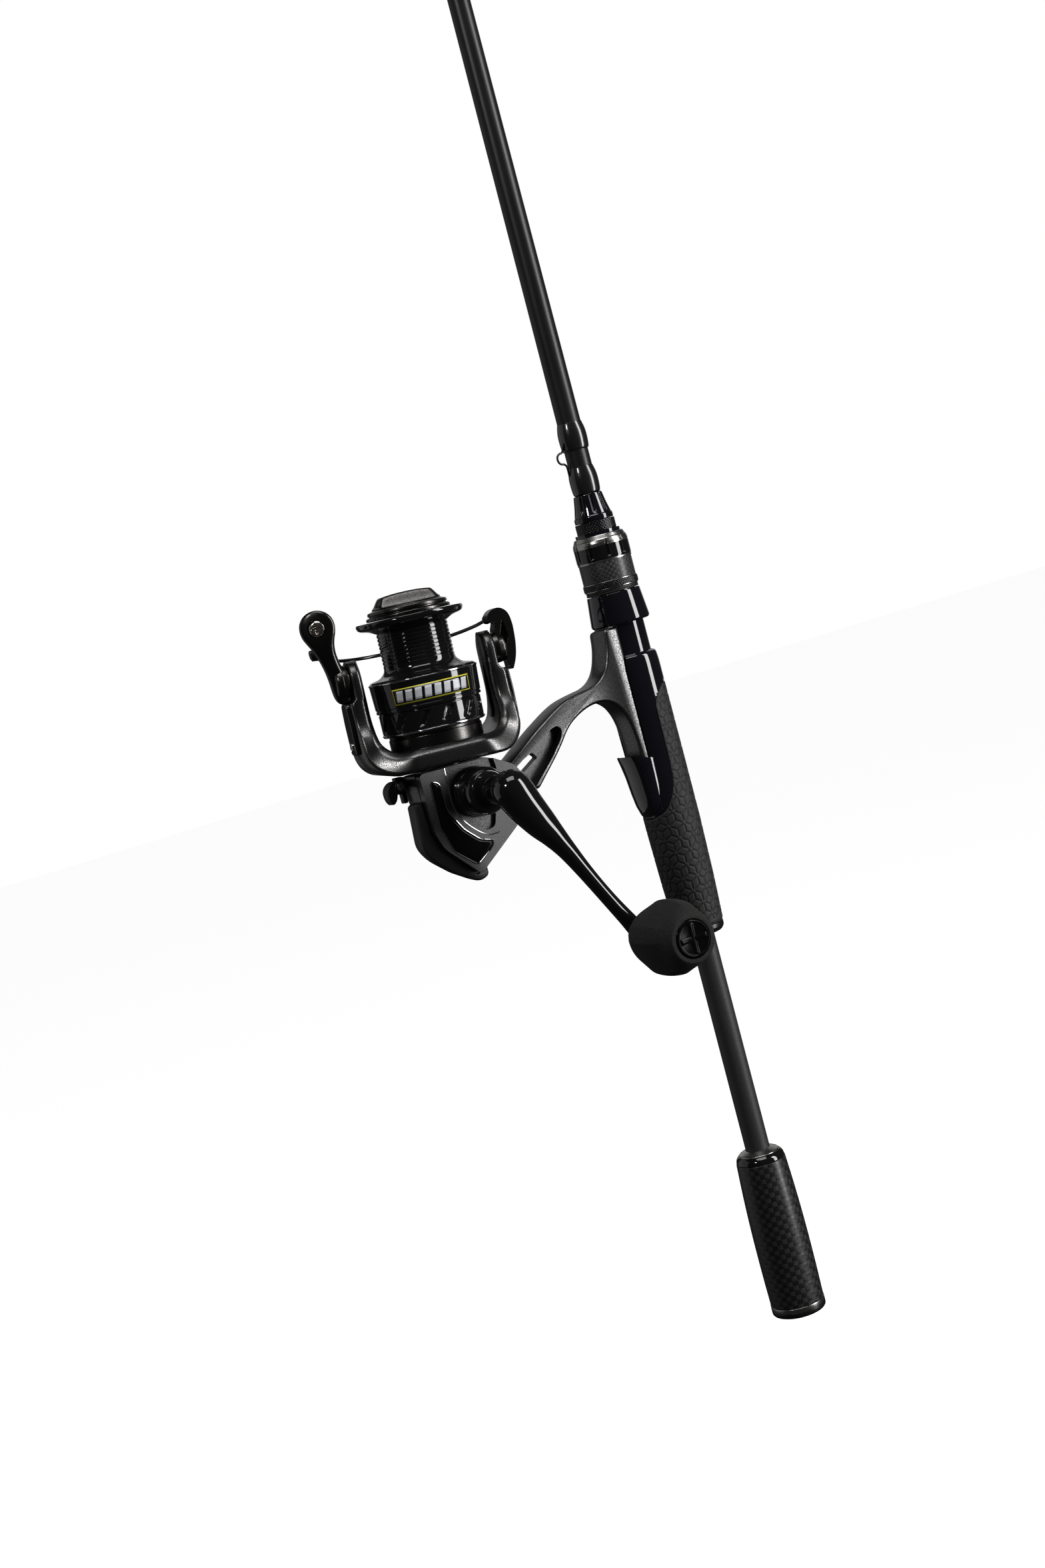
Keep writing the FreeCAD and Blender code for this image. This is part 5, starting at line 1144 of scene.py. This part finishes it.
def make_bail_lever():
    levels = [  # height, half width, half thickness, middle across, middle's depth behind the head's
        (91.35, 0.8, 0.8, 0.0, 0.0), (91.0, 2.4, 1.5, 0, 0), (90.2, 4.2, 1.9, 0, 0), (88.8, 5.9, 2.1, 0,
                0), (86.6, 7.3, 2.2, 0, 0), (83.6, 7.8, 2.2, 0, 0),
        (80.6, 7.3, 2.3, 0.0, 0.1), (78.2, 6.3, 2.4, 0.1, 0.3), (75.5, 5.2, 2.6, 0.4, 0.8),
        (72, 4.3, 2.8, 0.9, 1.8), (68, 3.9, 3.0, 1.6, 3.2), (64, 3.9, 3.2, 2.3, 4.7),
        (60, 4.1, 3.4, 2.9, 5.9), (56, 4.3, 3.3, 3.3, 6.6), (52.6, 4.0, 3.0, 3.5, 7.0),
        (50.4, 3.1, 2.4, 3.7, 7.2), (49.2, 1.6, 1.4, 3.8, 7.3), (48.9, 0.5, 0.5, 3.8, 7.3),
    ]
    side = Vector((math.cos(HEAD_TURN), -math.sin(HEAD_TURN), 0))
    back = Vector((math.sin(HEAD_TURN), math.cos(HEAD_TURN), 0))
    rings = []
    for height, wide, thick, across, behind in levels:
        middle = Vector((HEAD_SPOT.x, HEAD_SPOT.y, height)) + side * across + back * behind
        rings.append([
            middle + side * wide * squared(math.cos(angle), 2.7) + back * thick * squared(math.sin(angle),
                    2.7)
            for angle in angles(40)
        ])
    spots = list(zip(*[smooth_path([ring[here] for ring in rings], 3) for here in range(40)]))
    face = HEAD @ Matrix.Rotation(math.radians(90), 4, "X")
    recess = lathe([(0, 1.3), (3.7, 1.3), (4.3, 3.5), (0, 3.5)], 48)
    piece("bail_lever", "bail", "gunmetal_smooth", loft(spots), ROTOR, sharp=50,
          cutters=[(recess, face)])
    piece("roller_screw", "bail", "nickel", screw_head(3.4, 1.1),
          face @ Matrix.Translation((0, 0, 1.3)), sharp=30)
    collar = soften([(0, 33.1), (7.2, 33.1, 0.6), (7.4, 35.4, 0.1), (7.1, 35.6, 0.1), (7.1, 35.9, 0.1),
                     (7.3, 36.1, 0.2), (6.6, 39.2, 1.6), (0, 39.4)], loop=False, steps=5)
    turned = ROTOR @ Matrix.Translation((0, 0, BAIL_HEIGHT)) @ Matrix.Rotation(math.radians(-90), 4, "Y")
    piece("bail_lever_collar", "bail", "gunmetal_smooth", lathe(collar, 64), turned)
    bail_pin("bail_lever_pin", turned)


def make_roller():
    behind = HEAD @ Matrix.Rotation(math.radians(90), 4, "X") @ Matrix.Translation((0, 0, ROLLER_BACK))
    roller = soften([(1.55, 0.25), (5.0, 0.25, 0.5), (4.2, 1.6, 0.8), (4.2, 3.1, 0.8), (5.0, 4.55, 0.5),
                     (1.55, 4.55)])
    piece("line_roller", "roller", "trim_chrome", lathe(roller, 64, True), behind)
    root = soften([(0, -3.4), (3.6, -3.4, 0.8), (4.9, -0.6, 0.5), (4.9, -0.1, 0.1), (0, -0.1)], loop=False)
    piece("roller_root", "bail", "satin_black", lathe(root, 48), behind)
    pin = soften([(0, -0.3), (1.5, -0.3), (1.5, 5.2), (0, 5.2)], loop=False)
    piece("roller_pin", "bail", "dark_steel", lathe(pin, 24), behind)


def bail_line():
    spots = []
    apex = math.sqrt(49**2 - 7.6**2)
    for step in range(41):
        angle = math.pi * step / 40
        share = math.sin(angle)
        spots.append(Vector((-1.5 + 36 * math.cos(angle), 4 + (apex - 4) * share,
                             71.3 + (66.2 - 71.3) * share)))
    return spots


def make_bail_wire():
    spots = bail_line()
    face = HEAD @ Matrix.Rotation(math.radians(90), 4, "X") @ Matrix.Translation((0, 0, ROLLER_BACK - 2.4))
    root = ROTOR.inverted() @ face.translation
    end = spots[-1]
    path = smooth_path(spots[::4] + [end + (root - end) * 0.3 + Vector((-1.2, -1.0, 0.6)), root], 8)
    piece("bail_wire", "bail", "wire_gloss", tube(path, 0.8, 20), ROTOR)
    nub = smooth_path([end + Vector((1.5, 1.2, -0.4)), end, end + Vector((-3.5, -0.3, 0.9)),
                       end + Vector((-7.0, 0.3, 1.4)), end + Vector((-8.6, 0.5, 1.3))], 5)
    widths = [1.0 + 1.7 * level(0, 0.35, here / (len(nub) - 1)) for here in range(len(nub))]
    widths[-1] *= 0.45
    widths[-2] *= 0.8
    piece("bail_wire_nub", "bail", "satin_black", tube(nub, 0.9, 20, widths), ROTOR)
    ball = soften([(0, -2.1), (1.6, -1.7), (2.2, 0), (1.6, 1.7), (0, 2.1)], 1.2, loop=False)
    piece("bail_wire_ball", "bail", "satin_black", lathe(ball, 32),
          ROTOR @ Matrix.Translation(spots[0] + Vector((0.3, -0.6, 0.1))))


def make_bail_holder():
    outline = soften([
        (33.4, 70.2, 1.2), (33.0, 72.6, 1.4), (35.4, 75.3, 2.0), (39.6, 75.8, 2.4), (43.0, 73.0, 2.4),
        (44.0, 67.5, 2.5), (43.6, 59, 3), (42.3, 52.6, 3), (39.9, 47.6, 1.0),
        (38.5, 48.6, 1.0), (38.2, 54.0, 1.5), (36.6, 58.0, 1.5), (35.6, 62.0, 1.5), (35.0, 66.0, 1.0),
        (36.4, 69.6, 1.2), (35.6, 70.6, 0.6),
    ], steps=5)
    hollow = soften([(37.2, 63.6), (39.6, 70.2), (41.0, 63.0), (39.2, 58.6)], 0.9)
    piece("bail_holder", "bail", "gunmetal_smooth", prism(outline, -4.2, 3.8), ROTOR, edge=1.5,
          sharp=40, cutters=[(prism(hollow, -6, -1.2), ROTOR)])
    collar = soften([(0, 33.1), (6.6, 33.1, 0.5), (6.9, 35.2, 0.4), (6.4, 38.4, 1.2), (0, 38.6)],
                    loop=False, steps=5)
    turned = ROTOR @ Matrix.Translation((0, 0, BAIL_HEIGHT)) @ Matrix.Rotation(math.radians(90), 4, "Y")
    piece("bail_holder_collar", "bail", "gunmetal_smooth", lathe(collar, 64), turned)
    bail_pin("bail_holder_pin", turned)


# ---- reel: spool and drag

CAMERA_SIDE = math.atan2(-math.cos(VIEW_TURN), -math.sin(VIEW_TURN))


def make_spool():
    profile = [(2.2, 52.6), (22.6, 52.6), (21.5, 30.5, 0.1), (22.5, 30.5, 0.2), (22.75, 31.0, 0.1),
               (22.75, 31.7, 0.1), (22.45, 31.9, 0.1), (22.6, 32.3, 0.2), (22.75, 40.4, 0.1),
               (22.45, 40.6, 0.1), (22.45, 41.1, 0.1), (23.35, 41.3, 0.15), (23.4, 42.4, 0.1),
               (23.15, 42.5, 0.1), (23.15, 42.9, 0.1), (23.5, 43.1, 0.2), (24.0, 53.4, 0.2),
               (24.15, 53.6, 0.1),
               (24.15, 54.2, 0.2), (22.9, 55.3, 0.3), (18.6, 56.2, 1.2), (16.2, 58.4, 1.6), (15.85, 60)]
    for ring in range(9):
        low = 60.2 + ring * 1.72
        profile += [(15.85, low), (15.85, low + 1.1, 0.1), (15.5, low + 1.25, 0.1),
                    (15.5, low + 1.45, 0.1), (15.85, low + 1.6, 0.1)]
    profile += [(15.9, 75.6, 1.0), (18.4, 77.0, 1.2), (22.4, 77.9, 1.0), (23.4, 78.6, 0.3),
                (23.95, 80.0, 0.25), (23.6, 81.0, 0.3), (14.5, 81.0, 0.3), (13.5, 80.4, 0.3), (13.5, 75),
                (2.2, 75)]

    def slots(angle, radius, height):
        if not 33.0 < height < 40.0 or radius < 22.3:
            return radius
        turn = (angle / (2 * math.pi) * 13 - (height - 36.5) * 0.055) % 1 - 0.5
        dip = 1 - level(0.13, 0.17, abs(turn))
        dip *= level(33.2, 33.7, height) * (1 - level(39.3, 39.8, height))
        return radius - dip * (0.25 + 0.9 * level(-0.16, 0.14, turn))

    fine = []
    line = soften(profile)
    for run in zip(line, line[1:]):
        fine += divided(list(run), 0.5 if 32 < run[0][1] < 41 and run[0][0] > 22.3 else 8)[:-1]
    fine.append(line[-1])
    piece("spool", "spool", "gloss_black", lathe(fine, 390, True, slots), REEL, sharp=28)
    for name, reach, low, high in (("skirt_line", 22.95, 31.0, 31.6), ("skirt_bevel", 24.25, 53.65, 54.3)):
        piece(name, "spool", "trim_chrome", lathe(ring_profile(reach - 0.8, reach, low, high,
                0.15), 192, True), REEL)


def make_spool_mark():
    """A bordered row of plain slanted bars on the skirt."""
    def patch(name, look, from_turn, to_turn, low, high, lift, lean=0.0):
        rows = []
        for height in [low + (high - low) * step / 4 for step in range(5)]:
            share = (height - 43.1) / (53.4 - 43.1)
            reach = 23.52 + 0.5 * share + lift
            turns = [from_turn + lean * (height - low) + (to_turn - from_turn) * step / 24
                     for step in range(25)]
            rows.append([(reach * math.cos(math.radians(t) + CAMERA_SIDE),
                          reach * math.sin(math.radians(t) + CAMERA_SIDE), height) for t in turns])
        spots = [spot for row in rows for spot in row]
        faces = [[row * 25 + col, row * 25 + col + 1, row * 25 + col + 26,
                  row * 25 + col + 25] for row in range(4) for col in range(24)]
        made = piece(name, "spool", look, (spots, faces), REEL, sharp=60)
        thick = made.modifiers.new("thickness", "SOLIDIFY")
        thick.thickness, thick.offset = 0.00006, 0.0

    patch("spool_mark_edge", "label_edge", -35, 54, 44.0, 50.9, 0.03)
    patch("spool_mark_ground", "gloss_black", -34, 53, 44.5, 50.4, 0.07)
    for bar in range(8):
        start = -31.5 + bar * 10.4
        patch(f"spool_mark_bar_{bar + 1}", "label_ink", start, start + 7.2, 45.0, 49.9, 0.11, 0.35)


def make_drag_washers():
    washers = soften([(2.2, 75.1), (13.3, 75.1), (13.3, 80.6, 0.3), (2.2, 80.6)])
    piece("drag_washers", "spool", "felt", lathe(washers, 64, True), REEL)


def make_drag_knob():
    base = [(2.15, 81.3), (18.7, 81.3, 0.2), (18.7, 82.5, 0.3), (18.0, 83.0, 0.2), (17.2, 83.1, 0.1),
            (17.2, 83.5, 0.1), (17.8, 83.7, 0.2), (17.6, 85.0, 0.4), (15.6, 85.5, 0.2), (15.4, 85.8, 0.1),
            (2.15, 85.8)]
    piece("drag_knob", "drag", "gunmetal_smooth", lathe(soften(base), 128, True), REEL)
    steps, rows = 192, 64
    rings = []
    for row in range(rows + 1):
        reach = 15.2 * (1 - (1 - row / rows) ** 1.15)
        rings.append([])
        for angle in angles(steps):
            x, y = reach * math.cos(angle), reach * math.sin(angle)
            dome = 91.6 - 1.8 * (reach / 15.2) ** 2 - 3.4 * level(11.4, 15.4, reach)
            scoop = 85.8 + 5.9 * (1 - level(4.4, 8.6, abs(y)))
            apart = dome - scoop
            blended = (dome + scoop - 0.5) / 2 - apart**2 / 4
            rings[-1].append((x, y, max(85.6, min(dome, scoop) if abs(apart) > 1 else blended)))
    rings.append([(x, y, 85.2) for x, y, _ in rings[-1]])
    turned = REEL @ Matrix.Rotation(math.radians(-14), 4, "Z")
    piece("drag_knob_grip", "drag", "gunmetal_smooth", loft(rings), turned, ["drag_knob"],
          sharp=60)


# ---- reel: crank

def make_crank():
    stations = [  # along the arm, half width, half depth, bow, sweep
        (-8.3, 0.8, 0.8, 0, 0), (-7.9, 2.9, 2.9, 0, 0), (-6.2, 5.9, 5.9, 0, 0), (-3.4, 7.9, 7.9, 0, 0), (0,
                8.6, 8.6, 0, 0), (4.5, 8.5, 8.4, 0.2, -0.2), (9.5, 8.1, 7.9, 0.4, -0.4),
        (15, 7.5, 7.1, 0.4, -0.8), (21, 6.7, 6.4, 0.2, -1.1), (28, 5.3, 5.6, -0.1, -1.9),
        (36, 4.2, 4.6, -0.2, -2.7), (46, 3.5, 4.0, 0.2, -3.8), (56, 3.2, 3.8, 0.6, -5.0),
        (66, 3.2, 3.8, 0.7, -5.9),
        (76, 3.5, 3.9, 0.4, -6.4), (84, 4.0, 4.0, 0.1, -6.5), (89.2, 4.0, 3.8, 0, -6.5),
        (91.0, 2.6, 2.6, 0, -6.5), (91.5, 0.8, 0.8, 0, -6.5),
    ]
    rings = []
    for along, wide, deep, bow, sweep in stations:
        ridge = level(10, 26, along) * (1 - level(80, 90, along))
        ring = []
        for angle in angles(48):
            crest = max(0.0, math.cos(angle + math.radians(68))) ** 10
            reach = 1 + 0.07 * ridge * crest
            ring.append((bow + wide * math.cos(angle) * reach, sweep + deep * math.sin(angle) * reach,
                         along))
        rings.append(ring)
    spots = list(zip(*[smooth_path([ring[here] for ring in rings], 4) for here in range(48)]))
    piece("crank_arm", "crank", "crank_gloss", loft(spots), ARM, sharp=60)
    neck = soften([(0, 29.8), (6.4, 29.8, 0.4), (6.3, 33, 0.6), (6.9, 44, 1.0), (0, 46)], loop=False)
    piece("crank_neck", "crank", "crank_gloss", lathe(neck, 64), CRANK)
    end = soften([(0, -8.2), (4.9, -8.2, 0.5), (5.2, -4.2, 1.5), (4.9, -0.1, 0.5), (0, -0.1)], loop=False)
    piece("crank_arm_end", "crank", "crank_gloss", lathe(end, 48), KNOB)
    piece("knob_spindle", "crank", "dark_steel", lathe(soften([(0, -8.3), (2.4, -8.3, 0.3),
            (2.5, 31), (4, 31), (4, 32.4), (0, 32.4)], loop=False), 32), KNOB)


def make_knob():
    profile = [(2.6, 0.4), (7.8, 0.4, 1.5), (11.6, 3.4, 4), (15.0, 10.5, 6), (16.1, 19, 7), (14.9, 28, 6),
               (12.0, 34.6, 3), (10.2, 37.0, 0.6), (8.5, 37.0), (8.5, 34.2), (2.6, 34.2)]

    def flats(angle, radius, height):
        if radius < 8.8:
            return radius
        sector = (angle + math.radians(20)) % (math.pi / 2) - math.pi / 4
        share = 0.8 * level(2, 12, height) * (1 - level(28, 36.5, height))
        flat = 0.87 / max(0.5, math.cos(sector))
        return radius * (1 - share) + radius * min(1.03, flat) * share

    shape = lathe(divided(soften(profile, steps=8), 1.2, True), 192, True, flats)
    piece("knob_grip", "knob", "knob_foam", shape, KNOB, sharp=50)
    cap = soften([(0, 34), (8.4, 34), (8.4, 37.0, 0.5), (7.3, 37.7, 0.4), (6.9, 37.3, 0.3),
                  (3.0, 37.0, 1.0), (0, 36.9)], loop=False, steps=6)
    spots, faces = lathe(divided(cap, 0.5), 96)

    def cross(x, y, z):
        near, reach = min(abs(x), abs(y)), math.hypot(x, y)
        rib = (1 - level(0.4, 1.3, near)) * (1 - level(6.0, 6.8, reach))
        return x, y, z + 0.35 * rib * (z > 36.5)

    spots = [cross(*spot) for spot in spots]
    piece("knob_cap", "knob", "deep_black", (spots, faces), KNOB, sharp=50)


# ---- nodes kept from the frame

KEPT = {
    "wire_gloss": ["guide_1_frame", "guide_2_frame", "guide_3_frame", "small_guide_frames",
                   "tip_top_frame"],
    "ring_ceramic": ["guide_1_insert", "guide_2_insert", "guide_3_insert", "small_guide_inserts",
                     "tip_top_insert"],
    "dark_steel": ["bearings", "case_pins", "main_shaft"],
    "gear_brass": ["drive_gear", "pinion", "slider_gear", "crosshead"],
}


def finish_kept_nodes():
    for look, nodes in KEPT.items():
        for node in nodes:
            surfaces = frame["nodes"][node].data.materials
            surfaces.clear()
            surfaces.append(FINISHES[look].material)


make_finishes()
make_camera()
make_studio()
make_floor()
make_blank()
make_butt()
make_rear_grip()
make_seat()
make_moving_hood()
make_nut_rings()
make_locking_nut()
make_checks()
make_wraps()
make_case()
make_stem()
make_side_cover()
make_rear_cover()
make_far_side()
make_crank_boss()
make_stop_lever()
make_rotor()
make_rotor_drum()
make_arm_covers()
make_bail_lever()
make_roller()
make_bail_wire()
make_bail_holder()
make_spool()
make_spool_mark()
make_drag_washers()
make_drag_knob()
make_crank()
make_knob()
finish_kept_nodes()
